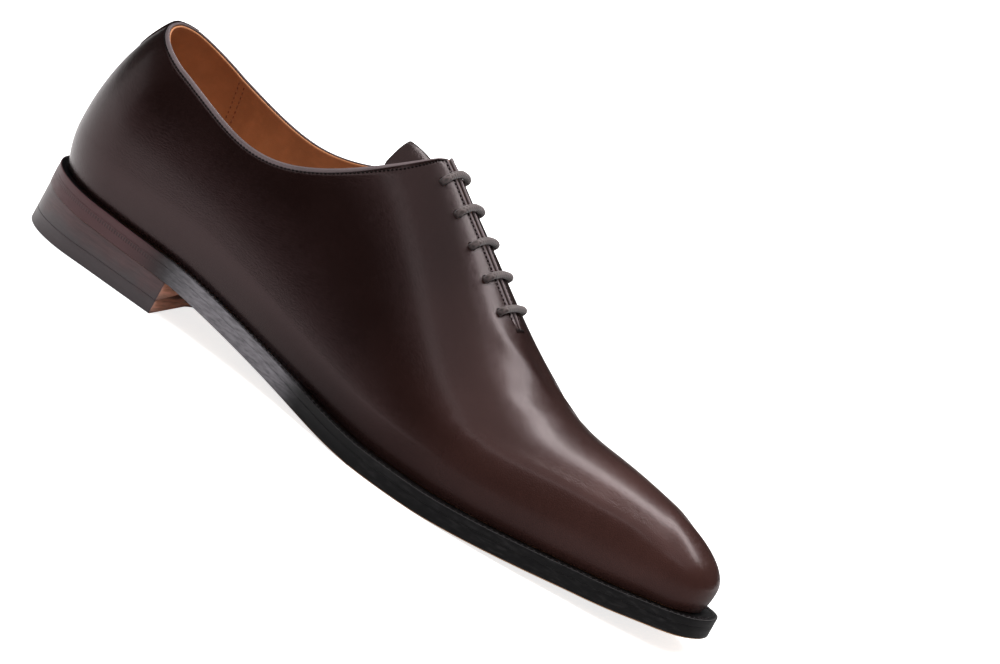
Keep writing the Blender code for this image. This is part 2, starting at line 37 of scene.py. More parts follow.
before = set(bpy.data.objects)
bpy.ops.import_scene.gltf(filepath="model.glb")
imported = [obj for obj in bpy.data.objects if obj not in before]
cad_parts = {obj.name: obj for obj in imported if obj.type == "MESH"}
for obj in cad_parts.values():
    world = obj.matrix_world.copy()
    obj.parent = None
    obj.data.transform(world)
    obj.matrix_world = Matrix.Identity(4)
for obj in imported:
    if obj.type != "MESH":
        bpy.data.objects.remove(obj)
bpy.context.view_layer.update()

# The last's sections fan out from a centre in the heel and one in the toe; the tables measure x from the
# heel's back
HEEL_CENTRE = 0.034
TOE_CENTRE = 0.270
HEEL_ARC = 0.033
TOE_ARC = 0.030
FIT = 0.0003
WALL = 0.0021
OUTSOLE = 0.0050
WELT = 0.0027
INSOLE = 0.0042
TOP_PIECE = 0.0056
LIFT = 0.003
TREAD_FROM = 0.174
TREAD_TO = 0.208
THROAT_END = 0.1890
COLLAR_END = 0.1355
BREAST = 0.0730
BREAST_HOLLOW = 0.0055
EYELET_ROWS = 5
EYELET_FIRST = 0.1376
EYELET_PITCH = 0.0110
EYELET_REACH = 0.0088
EYELET_RADIUS = 0.0018
HEEL_TURN = HEEL_ARC * math.pi / 2
SPINE = TOE_CENTRE - HEEL_CENTRE
HALF_LOOP = HEEL_TURN + SPINE + TOE_ARC * math.pi / 2
FULL_LOOP = 2 * HALF_LOOP
OUTER, INNER = -1, 1

# Lace: half the solid lace's thickness, how far its inner runs stay off the eyelets' line and, in rows, where
# its hidden ends stop and where a run leaves an eyelet and reaches its lane
SOLID_LACE_RADIUS = 0.00125
LACE_LANE = 0.0036
LACE_END = 0.5
LACE_LEAVES = 0.14
LACE_IN_LANE = 0.42

# Upper: its outer layer, the lining's drop under the rim, the rim's facets, the rim's fullness against the
# leather's thickness, the rows that carry a painted sheen at the rim, the rows of the leather's back, and the
# seam down the lining
OUTER_LEATHER = 0.0012
LINING_TOP_DROP = 0.00025
ROLL_STEPS = 6
ROLL_FULLNESS = 0.55
SHEEN_ROWS = (-5, 4)
UPPER_BACK_ROWS = 10
LINING_SEAM = (0.0335, 0.0362)
LINING_SEAM_HEIGHTS = (0.0180, 0.0015)

# Topline: softness of its corner with the throat, its stitch channel, its rolled edge, the end of its
# stitches, and how its facets crowd toward the rim, as shares of the rows against shares of the climb
CORNER_SOFTNESS = 0.012
RIM_CHANNEL = 0.00024
RIM_CHANNEL_WIDTH = 0.00052
RIM_ROLL = 0.00014
RIM_ROLL_WIDTH = 0.0004
RIM_ROLL_LINE = 0.0010
STITCH_LINE = 0.0020
STITCH_END = 0.1850
RIM_CROWDING = ((0.0, 0.84, 1.0), (0.0, 0.955, 1.0))

# How far a crease bows, as a share of its length and at most; how square its ends fade; and the angle from
# which an edge stays sharp
BOW_SHARE = 0.056
MOST_BOW = 0.00105
CREASE_FADE = 0.95
SHARP = math.radians(38)

# Outline of the sole: reach from the centre line to the edge
PLAN_COLUMNS = ("x", "turn", "outer", "inner")
PLAN = (
    (0.034, -90, 0.0340, 0.0340),
    (0.034, -60, 0.0338, 0.0338),
    (0.034, -30, 0.0331, 0.0331),
    (0.034, 0, 0.0324, 0.0324),
    (0.055, 0, 0.0330, 0.0313),
    (0.078, 0, 0.0336, 0.0292),
    (0.100, 0, 0.0340, 0.0274),
    (0.120, 0, 0.0356, 0.0280),
    (0.140, 0, 0.0392, 0.0318),
    (0.160, 0, 0.0444, 0.0380),
    (0.180, 0, 0.0488, 0.0442),
    (0.200, 0, 0.0500, 0.0488),
    (0.220, 0, 0.0476, 0.0498),
    (0.240, 0, 0.0422, 0.0462),
    (0.255, 0, 0.0366, 0.0408),
    (0.270, 0, 0.0308, 0.0345),
    (0.270, 30, 0.0290, 0.0312),
    (0.270, 50, 0.0312, 0.0322),
    (0.270, 68, 0.0362, 0.0362),
    (0.270, 80, 0.0374, 0.0373),
    (0.270, 90, 0.0376, 0.0376),
)

# Underside of the outsole from the side
ARCH_COLUMNS = ("x", "z")
ARCH = (
    (0.000, 0.0167),
    (0.022, 0.0150),
    (0.050, 0.0137),
    (0.076, 0.0127),
    (0.090, 0.0110),
    (0.106, 0.0086),
    (0.135, 0.0042),
    (0.160, 0.0010),
    (0.178, 0.0000),
    (0.192, 0.0000),
    (0.206, 0.0000),
    (0.222, 0.0006),
    (0.250, 0.0025),
    (0.280, 0.0051),
    (0.308, 0.0086),
)

# The upper's feather line, swell, widest line and squareness of section
UPPER_COLUMNS = ("x", "turn", "outer_margin", "inner_margin", "outer_swell", "inner_swell",
                 "widest", "outer_square", "inner_square")
UPPER = (
    (0.034, -90, 0.0032, 0.0032, 0.0036, 0.0036, 0.017, 2.05, 2.05),
    (0.034, 0, 0.0028, 0.0028, 0.0040, 0.0040, 0.017, 2.02, 2.02),
    (0.078, 0, 0.0028, 0.0016, 0.0046, 0.0050, 0.018, 1.95, 1.95),
    (0.110, 0, 0.0026, 0.0006, 0.0052, 0.0064, 0.017, 1.85, 1.80),
    (0.135, 0, 0.0034, 0.0012, 0.0042, 0.0062, 0.015, 1.80, 1.80),
    (0.165, 0, 0.0052, 0.0040, 0.0026, 0.0036, 0.013, 1.82, 1.85),
    (0.195, 0, 0.0062, 0.0060, 0.0020, 0.0020, 0.012, 1.95, 1.88),
    (0.225, 0, 0.0064, 0.0064, 0.0018, 0.0018, 0.011, 2.12, 1.92),
    (0.250, 0, 0.0064, 0.0064, 0.0017, 0.0017, 0.010, 2.28, 2.05),
    (0.270, 0, 0.0062, 0.0062, 0.0016, 0.0016, 0.009, 2.35, 2.15),
    (0.270, 50, 0.0060, 0.0060, 0.0014, 0.0014, 0.008, 2.30, 2.20),
    (0.270, 90, 0.0060, 0.0060, 0.0012, 0.0012, 0.008, 2.25, 2.25),
)

# Crest of the last from the side, and how far it leans inward
CREST_COLUMNS = ("x", "z", "lean")
CREST = (
    (0.000, 0.1010, 0.0000),
    (0.034, 0.1010, 0.0005),
    (0.070, 0.1040, 0.0020),
    (0.100, 0.1080, 0.0035),
    (0.117, 0.1077, 0.0040),
    (0.131, 0.1022, 0.0042),
    (0.145, 0.0932, 0.0042),
    (0.160, 0.0832, 0.0042),
    (0.180, 0.0694, 0.0040),
    (0.192, 0.0614, 0.0038),
    (0.205, 0.0538, 0.0034),
    (0.220, 0.0470, 0.0028),
    (0.240, 0.0445, 0.0020),
    (0.270, 0.0420, 0.0010),
    (0.290, 0.0393, 0.0005),
    (0.308, 0.0366, 0.0000),
)

# Top edge of the collar
COLLAR_COLUMNS = ("x", "turn", "outer", "inner")
COLLAR = (
    (0.034, -90, 0.0893, 0.0893),
    (0.034, -60, 0.0882, 0.0878),
    (0.034, -30, 0.0852, 0.0840),
    (0.034, 0, 0.0812, 0.0794),
    (0.055, 0, 0.0757, 0.0744),
    (0.075, 0, 0.0722, 0.0730),
    (0.090, 0, 0.0741, 0.0762),
    (0.100, 0, 0.0782, 0.0802),
    (0.110, 0, 0.0842, 0.0856),
    (0.120, 0, 0.0918, 0.0922),
    (0.128, 0, 0.0990, 0.0992),
    (0.136, 0, 0.1070, 0.1070),
)

# Half the gap of the throat slit
SLIT_COLUMNS = ("x", "half_gap")
SLIT = (
    (0.120, 0.0012),
    (0.131, 0.0012),
    (0.150, 0.0011),
    (0.175, 0.0010),
    (0.185, 0.0006),
    (0.189, 0.0000),
)

# Tongue: half its width and how far it sinks from the throat
TONGUE_DEPTH = WALL + 0.0034
TONGUE_THICK = 0.0016
TONGUE_TOP = 0.1166
TONGUE_COLUMNS = ("x", "half_width", "sink")
TONGUE = (
    (0.1150, 0.0100, 0.0034),
    (0.1158, 0.0150, 0.0033),
    (0.1190, 0.0190, 0.0028),
    (0.1280, 0.0205, 0.0013),
    (0.1400, 0.0202, 0.0000),
    (0.1560, 0.0188, 0.0000),
    (0.1700, 0.0175, 0.0000),
    (0.1850, 0.0162, 0.0000),
    (0.1920, 0.0150, -0.0018),
    (0.1970, 0.0132, -0.0030),
    (0.2000, 0.0100, -0.0031),
)

# Back tab: its reach down the quarter, by distance round the heel from the back seam
TAB_BELOW_RIM = 0.0006
TAB_LIFT = 0.0001
TAB_THICK = 0.0011
TAB_STITCH_INSET = 0.0013
TAB_COLUMNS = ("round", "drop")
TAB = (
    (-0.0045, 0.0145),
    (0.0000, 0.0148),
    (0.0060, 0.0144),
    (0.0110, 0.0132),
    (0.0150, 0.0110),
    (0.0178, 0.0080),
    (0.0192, 0.0048),
)

# Soft creases: where each starts and ends on the vamp from above, its width and depth, negative for a ridge
CREASE_COLUMNS = ("from_x", "from_y", "to_x", "to_y", "width", "depth")
CREASES = (
    (0.200, -0.0435, 0.294, -0.0135, 0.0032, -0.00095),
    (0.183, -0.012, 0.207, 0.003, 0.0050, -0.00060),
    (0.190, 0.007, 0.214, 0.011, 0.0050, 0.00060),
    (0.206, -0.020, 0.214, 0.010, 0.0038, 0.00042),
    (0.214, -0.022, 0.221, 0.006, 0.0036, -0.00016),
    (0.196, -0.045, 0.202, -0.034, 0.0020, 0.00022),
    (0.204, -0.044, 0.210, -0.033, 0.0018, 0.00022),
    (0.213, -0.042, 0.218, -0.032, 0.0018, 0.00018),
    (0.203, 0.016, 0.212, 0.034, 0.0028, 0.00030),
    (0.212, 0.014, 0.221, 0.034, 0.0026, 0.00026),
)


class Curve:
    """Cubic through the given places; open ends are natural, a closed one comes round smoothly."""

    def __init__(self, places, values, closed=False):
        self.places = np.array(places, float)
        self.values = np.array(values, float)
        self.closed = closed
        count = len(self.places)
        step = np.diff(self.places)
        rise = np.diff(self.values) / step
        matrix = np.zeros((count, count))
        right = np.zeros(count)
        for i in range(1, count - 1):
            matrix[i, i - 1:i + 2] = step[i - 1], 2 * (step[i - 1] + step[i]), step[i]
            right[i] = 6 * (rise[i] - rise[i - 1])
        if closed:
            matrix[0, :2] = 2 * (step[-1] + step[0]), step[0]
            matrix[0, count - 2] = step[-1]
            right[0] = 6 * (rise[0] - rise[-1])
            matrix[-1, 0], matrix[-1, -1] = 1, -1
        else:
            matrix[0, 0] = matrix[-1, -1] = 1
        self.bend = np.linalg.solve(matrix, right)

    def __call__(self, place):
        first, last = self.places[0], self.places[-1]
        place = np.asarray(place, float)
        place = first + np.mod(place - first, last - first) if self.closed else np.clip(place, first, last)
        i = np.clip(np.searchsorted(self.places, place, side="right") - 1, 0, len(self.places) - 2)
        step = self.places[i + 1] - self.places[i]
        t = place - self.places[i]
        low, high = self.bend[i], self.bend[i + 1]
        slope = (self.values[i + 1] - self.values[i]) / step - step * (2 * low + high) / 6
        return self.values[i] + t * slope + t * t * low / 2 + t ** 3 * (high - low) / (6 * step)


def column(columns, rows, name):
    """One named column of a table."""
    return [row[columns.index(name)] for row in rows]


def station(x, turn=0):
    """Distance from the back seam along one side of the loop."""
    if turn < 0:
        return HEEL_ARC * math.radians(90 + turn)
    return HEEL_TURN + (x - HEEL_CENTRE) + TOE_ARC * math.radians(turn)


def fold(side, s):
    """Loop place of a distance from the back seam, on the outer or the inner side."""
    return np.where(side == OUTER, s, FULL_LOOP - s)


def loop_at(side, x):
    """Loop place on a side, at a distance from the heel's back."""
    return fold(side, station(x))


def stations(columns, rows):
    return [station(x, turn) for x, turn in zip(column(columns, rows, "x"), column(columns, rows, "turn"))]


def round_loop(columns, rows, outer, inner):
    """A closed curve down the outer side and back up the inner side."""
    along = stations(columns, rows)
    places = along + [FULL_LOOP - s for s in reversed(along[:-1])]
    values = column(columns, rows, outer) + column(columns, rows, inner)[-2::-1]
    return Curve(places, values, closed=True)


def by_x(columns, rows, name):
    """A curve of one column along the shoe."""
    return Curve(column(columns, rows, "x"), column(columns, rows, name))


sole_reach = round_loop(PLAN_COLUMNS, PLAN, "outer", "inner")
margin = round_loop(UPPER_COLUMNS, UPPER, "outer_margin", "inner_margin")
swell = round_loop(UPPER_COLUMNS, UPPER, "outer_swell", "inner_swell")
squareness = round_loop(UPPER_COLUMNS, UPPER, "outer_square", "inner_square")
widest = round_loop(UPPER_COLUMNS, UPPER, "widest", "widest")
arch_line = by_x(ARCH_COLUMNS, ARCH, "z")
crest = by_x(CREST_COLUMNS, CREST, "z")
lean = by_x(CREST_COLUMNS, CREST, "lean")
half_gap = by_x(SLIT_COLUMNS, SLIT, "half_gap")
tongue_width = by_x(TONGUE_COLUMNS, TONGUE, "half_width")
tongue_sink = by_x(TONGUE_COLUMNS, TONGUE, "sink")
tab_drop = Curve(column(TAB_COLUMNS, TAB, "round"), column(TAB_COLUMNS, TAB, "drop"))
collar_outer = Curve(stations(COLLAR_COLUMNS, COLLAR), column(COLLAR_COLUMNS, COLLAR, "outer"))
collar_inner = Curve(stations(COLLAR_COLUMNS, COLLAR), column(COLLAR_COLUMNS, COLLAR, "inner"))


def arch(x):
    """Height of the sole's underside, flat under the ball."""
    flat = (x >= TREAD_FROM) & (x <= TREAD_TO)
    return np.where(flat, 0.0, np.maximum(arch_line(x), 0.0))


def section_line(loop):
    """Centre of each section and the level direction that it runs out in; loop goes once round the shoe."""
    loop = np.mod(loop, FULL_LOOP)
    side = np.where(loop <= HALF_LOOP, OUTER, INNER)
    s = np.minimum(loop, FULL_LOOP - loop)
    heel = np.clip(s / HEEL_ARC, 0, math.pi / 2)
    toe = np.clip((s - HEEL_TURN - SPINE) / TOE_ARC, 0, math.pi / 2)
    centre = HEEL_CENTRE + np.clip(s - HEEL_TURN, 0, SPINE)
    out_x = np.where(s < HEEL_TURN, -np.cos(heel), np.sin(toe))
    out_y = side * np.where(s < HEEL_TURN, np.sin(heel), np.cos(toe))
    return s, centre, out_x, out_y


def points(x, y, z):
    """Points from their parts, which may be numbers or arrays."""
    return np.stack(np.broadcast_arrays(x, y, z), axis=-1)


def girth(loop):
    """A section's reach at the feather and at its widest line, the heights of both, and its squareness."""
    _, centre, out_x, _ = section_line(loop)
    reach = sole_reach(loop) - margin(loop)
    low = arch(centre + out_x * reach) + OUTSOLE + WELT + 2 * FIT
    return reach, reach + swell(loop), low, low + widest(loop), squareness(loop)


def outside(loop, climb):
    """The upper's outside: climb is -1 at the feather, 0 at the widest line and 1 at the crest."""
    _, centre, out_x, out_y = section_line(loop)
    reach, wide, low, waist, square = girth(loop)
    below = climb < 0
    angle = np.clip(climb, 0, None) * math.pi / 2
    cosine, sine = np.cos(angle), np.sin(angle)
    above_away = np.copysign(wide * np.abs(cosine) ** (2 / square), cosine)
    away = np.where(below, reach + (wide - reach) * (1 - climb * climb), above_away)
    x = centre + out_x * away
    y = out_y * away + np.where(below, 0.0, lean(x) * sine)
    rise = np.abs(sine) ** (2 / square)
    z = np.where(below, waist + (waist - low) * climb, waist + (crest(x) - waist) * rise)
    return points(x, y, z)


def unit(vectors):
    """Vectors scaled to length 1."""
    return vectors / np.maximum(np.linalg.norm(vectors, axis=-1, keepdims=True), 1e-12)


def outward(loop, climb):
    """Direction square to the upper's outside."""
    along, up = 0.0004, 0.008
    run = outside(loop + along, climb) - outside(loop - along, climb)
    rise = outside(loop, climb + up) - outside(loop, climb - up)
    normal = unit(np.cross(run, rise))
    x = outside(loop, climb)[..., 0]
    slope = (crest(x + along) - crest(x - along)) / (2 * along)
    at_pole = np.linalg.norm(run, axis=-1) < along * 0.02
    return np.where(at_pole[..., None], unit(points(-slope, 0.0, 1.0)), normal)


def skin(loop, climb, depth):
    """Points at a depth under the upper's outside, kept level below the widest line."""
    normal = outward(loop, climb)
    level = normal * np.array((1.0, 1.0, 0.0))
    level = level / np.maximum((level * level).sum(-1, keepdims=True), 0.05)
    shift = np.where((climb < 0)[..., None], level, normal)
    return outside(loop, climb) - shift * np.asarray(depth)[..., None]


def climb_to_height(loop, height):
    """Climb at which the upper's outside reaches a height, by halving."""
    low, high = np.zeros_like(loop), np.ones_like(loop)
    for _ in range(28):
        middle = (low + high) / 2
        under = outside(loop, middle)[..., 2] < height
        low, high = np.where(under, middle, low), np.where(under, high, middle)
    return low


def climb_to_reach(loop, reach):
    """Climb at which the upper's outside is at a distance from its middle line."""
    _, wide, _, _, square = girth(loop)
    return np.arccos(np.clip(reach / wide, 0, 1) ** (square / 2)) * 2 / math.pi


def collar_height(loop):
    """Height of the collar's top edge."""
    loop = np.mod(loop, FULL_LOOP)
    s = np.minimum(loop, FULL_LOOP - loop)
    return np.where(loop <= HALF_LOOP, collar_outer(s), collar_inner(s))


def top_climb(loop):
    """Where the upper stops: at the collar, at the slit's edge, or at the crest, with a rounded corner."""
    s, centre, _, _ = section_line(loop)
    at_slit = climb_to_reach(loop, half_gap(centre))
    at_collar = climb_to_height(loop, collar_height(loop))
    blend = np.clip(0.5 + (at_slit - at_collar) / CORNER_SOFTNESS / 2, 0, 1)
    soft = at_slit * (1 - blend) + at_collar * blend - CORNER_SOFTNESS * blend * (1 - blend)
    top = np.where(s >= station(COLLAR_END), at_slit, soft)
    return np.where(s >= station(THROAT_END) - 1e-6, 1.0, top)


def crease_depth(place, climb):
    """How deep the leather is pressed in by the creases at each point."""
    total = np.zeros(place.shape[:-1])
    for from_x, from_y, to_x, to_y, width, depth in CREASES:
        ax, ay = place[..., 0] - from_x, place[..., 1] - from_y
        bx, by = to_x - from_x, to_y - from_y
        length = bx * bx + by * by
        t = (ax * bx + ay * by) / length
        bow = min(BOW_SHARE * math.sqrt(length), MOST_BOW) * (1 - (2 * t - 1) ** 2)
        off = (ax * by - ay * bx) / math.sqrt(length) - bow
        fade = np.exp(-((2 * t - 1) / CREASE_FADE) ** 4)
        total += depth * np.exp(-(off / width) ** 2) * fade
    return total * np.clip(climb * 3 - 0.2, 0, 1)


def rim_scale(loop):
    """Metres for each step of climb just under the top edge, taken square to the edge."""
    top = top_climb(loop)
    fall = np.linalg.norm(outside(loop, top) - outside(loop, top - 0.01), axis=-1) / 0.01
    slant = (top_climb(loop + 0.001) - top_climb(loop - 0.001)) / 0.002 * fall
    return fall / np.sqrt(1 + np.clip(slant, -2, 2) ** 2)


def rim_relief(below):
    """The stitch channel and, above it, the fuller rolled edge, as a depth."""
    channel = RIM_CHANNEL * np.exp(-((below - STITCH_LINE) / RIM_CHANNEL_WIDTH) ** 2)
    roll = RIM_ROLL * np.exp(-((below - RIM_ROLL_LINE) / RIM_ROLL_WIDTH) ** 2)
    return channel - roll


def in_part(place):
    """The tables' x, which starts at the heel's back, becomes the part's own."""
    return place - np.array((HEEL_CENTRE, 0, 0))


def leather_face(loop, climb, depth=0.0):
    """The outside of the leather with its creases."""
    return in_part(skin(loop, climb, depth + crease_depth(outside(loop, climb), climb)))


# Making and placing pieces

def add_piece(name, mesh, material, slot):
    """Turns a bmesh into an object that rides on the shoe's body."""
    bmesh.ops.dissolve_degenerate(mesh, edges=mesh.edges, dist=1e-7)
    data = bpy.data.meshes.new(name)
    mesh.to_mesh(data)
    mesh.free()
    for polygon in data.polygons:
        polygon.use_smooth = True
    piece = bpy.data.objects.new(name, data)
    bpy.context.scene.collection.objects.link(piece)
    data.materials.append(material)
    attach(piece, "root")
    return piece


def grid_mesh(around, across, place):
    """A grid from create_grid, each corner carried to place(a, b), with a and b from 0 to 1."""
    mesh = bmesh.new()
    bmesh.ops.create_grid(mesh, x_segments=around, y_segments=across, size=0.5)
    mesh.verts.layers.float.new("along")
    mesh.verts.layers.float.new("across")
    layers = mesh.verts.layers.float["along"], mesh.verts.layers.float["across"]
    flat = np.array([corner.co[:2] for corner in mesh.verts]) + 0.5
    a, b = np.round(flat[:, 0] * around) / around, np.round(flat[:, 1] * across) / across
    for corner, spot, *shares in zip(mesh.verts, place(a, b), a, b):
        corner.co = spot
        for layer, share in zip(layers, shares):
            corner[layer] = share
    return mesh


def weld(mesh, distance=2e-6):
    """Joins a bent grid where its edges meet and turns its faces outward."""
    bmesh.ops.remove_doubles(mesh, verts=mesh.verts, dist=distance)
    loose = [edge for edge in mesh.edges if not edge.link_faces]
    bmesh.ops.delete(mesh, geom=loose, context="EDGES")
    bmesh.ops.recalc_face_normals(mesh, faces=mesh.faces)


def close_loop(mesh):
    """Closes the ends of a half ring with flat caps."""
    edges = [edge for edge in mesh.edges if len(edge.link_faces) == 1]
    if edges:
        bmesh.ops.holes_fill(mesh, edges=edges, sides=0)


def beads(name, spots, tangents, normals, size, material, slot):
    """A row of stitches, each a small rounded bead along its tangent; size is length, width and height."""
    length, width, height = size
    mesh = bmesh.new()
    for spot, tangent, normal in zip(spots, tangents, normals):
        along = Vector(tangent).normalized()
        up = Vector(normal)
        up = (up - along * up.dot(along)).normalized()
        aside = up.cross(along)
        turn = Matrix((along * (length / 2), aside * (width / 2), up * (height / 2))).transposed().to_4x4()
        turn.translation = Vector(spot)
        bmesh.ops.create_icosphere(mesh, subdivisions=1, radius=1.0, matrix=turn)
    return add_piece(name, mesh, material, slot)


def even_places(values, path, pitch):
    """Values of a path's parameter at even distances along it."""
    steps = np.linalg.norm(np.diff(path, axis=0), axis=1)
    run = np.concatenate([[0], np.cumsum(steps)])
    count = max(2, int(run[-1] / pitch))
    return np.interp((np.arange(count) + 0.5) * run[-1] / count, run, values)


def surface_row(loops, climbs, depth, pitch):
    """Even stitch places on the leather along a line given by matching loops and climbs."""
    share = np.linspace(0, 1, len(loops))

    def line(at):
        return leather_face(np.interp(at, share, loops), np.interp(at, share, climbs), depth)

    at = even_places(share, leather_face(loops, climbs, depth), pitch)
    step = 0.25 / len(loops)
    normals = outward(np.interp(at, share, loops), np.interp(at, share, climbs))
    return line(at), unit(line(at + step) - line(at - step)), normals


# Materials

# Where most of a noise texture's values lie
NOISE_SPAN = (0.3, 0.7)
# The topline's rolled edge carries a painted sheen: how strong, and toward which colour
RIM_PAINTED_SHEEN = 0.75
RIM_SHEEN_COLOUR = (0.14, 0.112, 0.116)
# Fine wrinkles where the vamp bends: the height they centre on, and their depth against the grain's
WRINKLE_HEIGHT = 0.030
WRINKLE_DEPTH = 2.4
# The sole's edge: where its profile turns from flat to corner and from bare leather to dressed edge, and the
# row that a wheel marked at the heel with its half height, all as shares of the profile; then the number of
# marks and the colours of the painted shade in the marks, the worn wax, the painted sheen on the waist and
# the painted highlight along the welt's top corner
FLAT_SHARE = (0.27, 0.28)
BARE_SHARE = (0.430, 0.440)
WHEEL_ROW = 0.520
WHEEL_HALF_HEIGHT = 0.012
WHEEL_MARKS = 560
WHEEL_GROOVE_SHADE = (0.010, 0.008, 0.009)
WORN_EDGE = (0.062, 0.056, 0.058)
WAIST_SHEEN = (0.185, 0.172, 0.188)
WELT_CORNER_HIGHLIGHT = (0.060, 0.055, 0.056)
# The heel's burnish toward the floor, and the length of one plait of the lace
HEEL_DARK = (0.040, 0.033, 0.036)
LACE_PLAIT = 0.0016


def shaded(colour, factor):
    return tuple(min(part * factor, 1.0) for part in colour)


def new_material(name, colour, roughness):
    """A material with its node tree and its shader."""
    material = bpy.data.materials.new(name)
    material.use_nodes = True
    shader = material.node_tree.nodes["Principled BSDF"]
    shader.inputs["Base Color"].default_value = (*colour, 1.0)
    shader.inputs["Roughness"].default_value = roughness
    material.diffuse_color = (*colour, 1.0)
    return material, material.node_tree, shader


def add_node(tree, kind, **settings):
    """A new node with its settings."""
    node = tree.nodes.new(kind)
    for key, value in settings.items():
        setattr(node, key, value)
    return node


def noise(tree, vector, scale, detail=3.0, roughness=0.5):
    """A noise texture's value."""
    node = add_node(tree, "ShaderNodeTexNoise")
    node.inputs["Scale"].default_value = scale
    node.inputs["Detail"].default_value = detail
    node.inputs["Roughness"].default_value = roughness
    tree.links.new(vector, node.inputs["Vector"])
    return node.outputs["Fac"]


def remap(tree, value, low, high, to_low, to_high, smooth=False):
    """Carries a value from one span to another, clamped."""
    node = add_node(tree, "ShaderNodeMapRange")
    if smooth:
        node.interpolation_type = "SMOOTHSTEP"
    for key, number in (("From Min", low), ("From Max", high), ("To Min", to_low), ("To Max", to_high)):
        node.inputs[key].default_value = number
    tree.links.new(value, node.inputs["Value"])
    return node.outputs["Result"]


def arithmetic(tree, operation, first, second):
    """One maths node; each of its two inputs is a number or a socket."""
    node = add_node(tree, "ShaderNodeMath", operation=operation)
    for index, value in enumerate((first, second)):
        if isinstance(value, (int, float)):
            node.inputs[index].default_value = value
        else:
            tree.links.new(value, node.inputs[index])
    return node.outputs["Value"]


def times(tree, first, second):
    """Product of two values or sockets."""
    return arithmetic(tree, "MULTIPLY", first, second)


def between(tree, value, rise, fall, smooth=False):
    """A mask that comes up over one span and goes down over another."""
    up = remap(tree, value, *rise, 0.0, 1.0, smooth)
    return times(tree, up, remap(tree, value, *fall, 1.0, 0.0, smooth))


def mix_colour(tree, factor, first, second):
    """Blends two colours, each a value or a socket."""
    node = add_node(tree, "ShaderNodeMix", data_type="RGBA")
    for index, value in ((0, factor), (6, first), (7, second)):
        if isinstance(value, bpy.types.NodeSocket):
            tree.links.new(value, node.inputs[index])
        else:
            node.inputs[index].default_value = (*value, 1.0)
    return node.outputs[2]


def object_place(tree):
    return add_node(tree, "ShaderNodeTexCoord").outputs["Object"]


def grid_share(tree, name):
    """The share along or across the grid that a piece was bent from."""
    return add_node(tree, "ShaderNodeAttribute", attribute_name=name).outputs["Fac"]


def separate(tree, vector):
    """The three parts of a vector."""
    node = add_node(tree, "ShaderNodeSeparateXYZ")
    tree.links.new(vector, node.inputs["Vector"])
    return node.outputs


def stretched(tree, vector, scale):
    """A vector with each part scaled on its own, so that a texture stretches."""
    node = add_node(tree, "ShaderNodeMapping")
    node.inputs["Scale"].default_value = scale
    tree.links.new(vector, node.inputs["Vector"])
    return node.outputs["Vector"]


def bump(tree, shader, height, strength, distance):
    """Feeds a height to the shader as relief."""
    node = add_node(tree, "ShaderNodeBump")
    node.inputs["Strength"].default_value = strength
    node.inputs["Distance"].default_value = distance
    tree.links.new(height, node.inputs["Height"])
    tree.links.new(node.outputs["Normal"], shader.inputs["Normal"])


def leather_group():
    """Pores and fine wrinkles of calf, with slow mottling: heights and a tone, at a given grain size."""
    if "calf_grain" in bpy.data.node_groups:
        return bpy.data.node_groups["calf_grain"]
    group = bpy.data.node_groups.new("calf_grain", "ShaderNodeTree")
    group.interface.new_socket("Vector", in_out="INPUT", socket_type="NodeSocketVector")
    scale = group.interface.new_socket("Scale", in_out="INPUT", socket_type="NodeSocketFloat")
    scale.default_value = 1500.0
    for name in ("Height", "Tone"):
        group.interface.new_socket(name, in_out="OUTPUT", socket_type="NodeSocketFloat")
    entry = add_node(group, "NodeGroupInput")
    leave = add_node(group, "NodeGroupOutput")
    cells = add_node(group, "ShaderNodeTexVoronoi", feature="DISTANCE_TO_EDGE")
    fine = add_node(group, "ShaderNodeTexNoise")
    slow = add_node(group, "ShaderNodeTexNoise")
    slow.inputs["Scale"].default_value = 38.0
    slow.inputs["Detail"].default_value = 4.0
    fine.inputs["Detail"].default_value = 2.0
    for node in (cells, fine, slow):
        group.links.new(entry.outputs["Vector"], node.inputs["Vector"])
    for node in (cells, fine):
        group.links.new(entry.outputs["Scale"], node.inputs["Scale"])
    edge = remap(group, cells.outputs["Distance"], 0.0, 0.16, 0.0, 1.0)
    height = arithmetic(group, "ADD", times(group, edge, 0.6), fine.outputs["Fac"])
    group.links.new(height, leave.inputs["Height"])
    group.links.new(slow.outputs["Fac"], leave.inputs["Tone"])
    return group


def calf(tree, vector, scale):
    """Height and tone of the shared grain at one size."""
    node = add_node(tree, "ShaderNodeGroup", node_tree=leather_group())
    node.inputs["Scale"].default_value = scale
    tree.links.new(vector, node.inputs["Vector"])
    return node.outputs["Height"], node.outputs["Tone"]


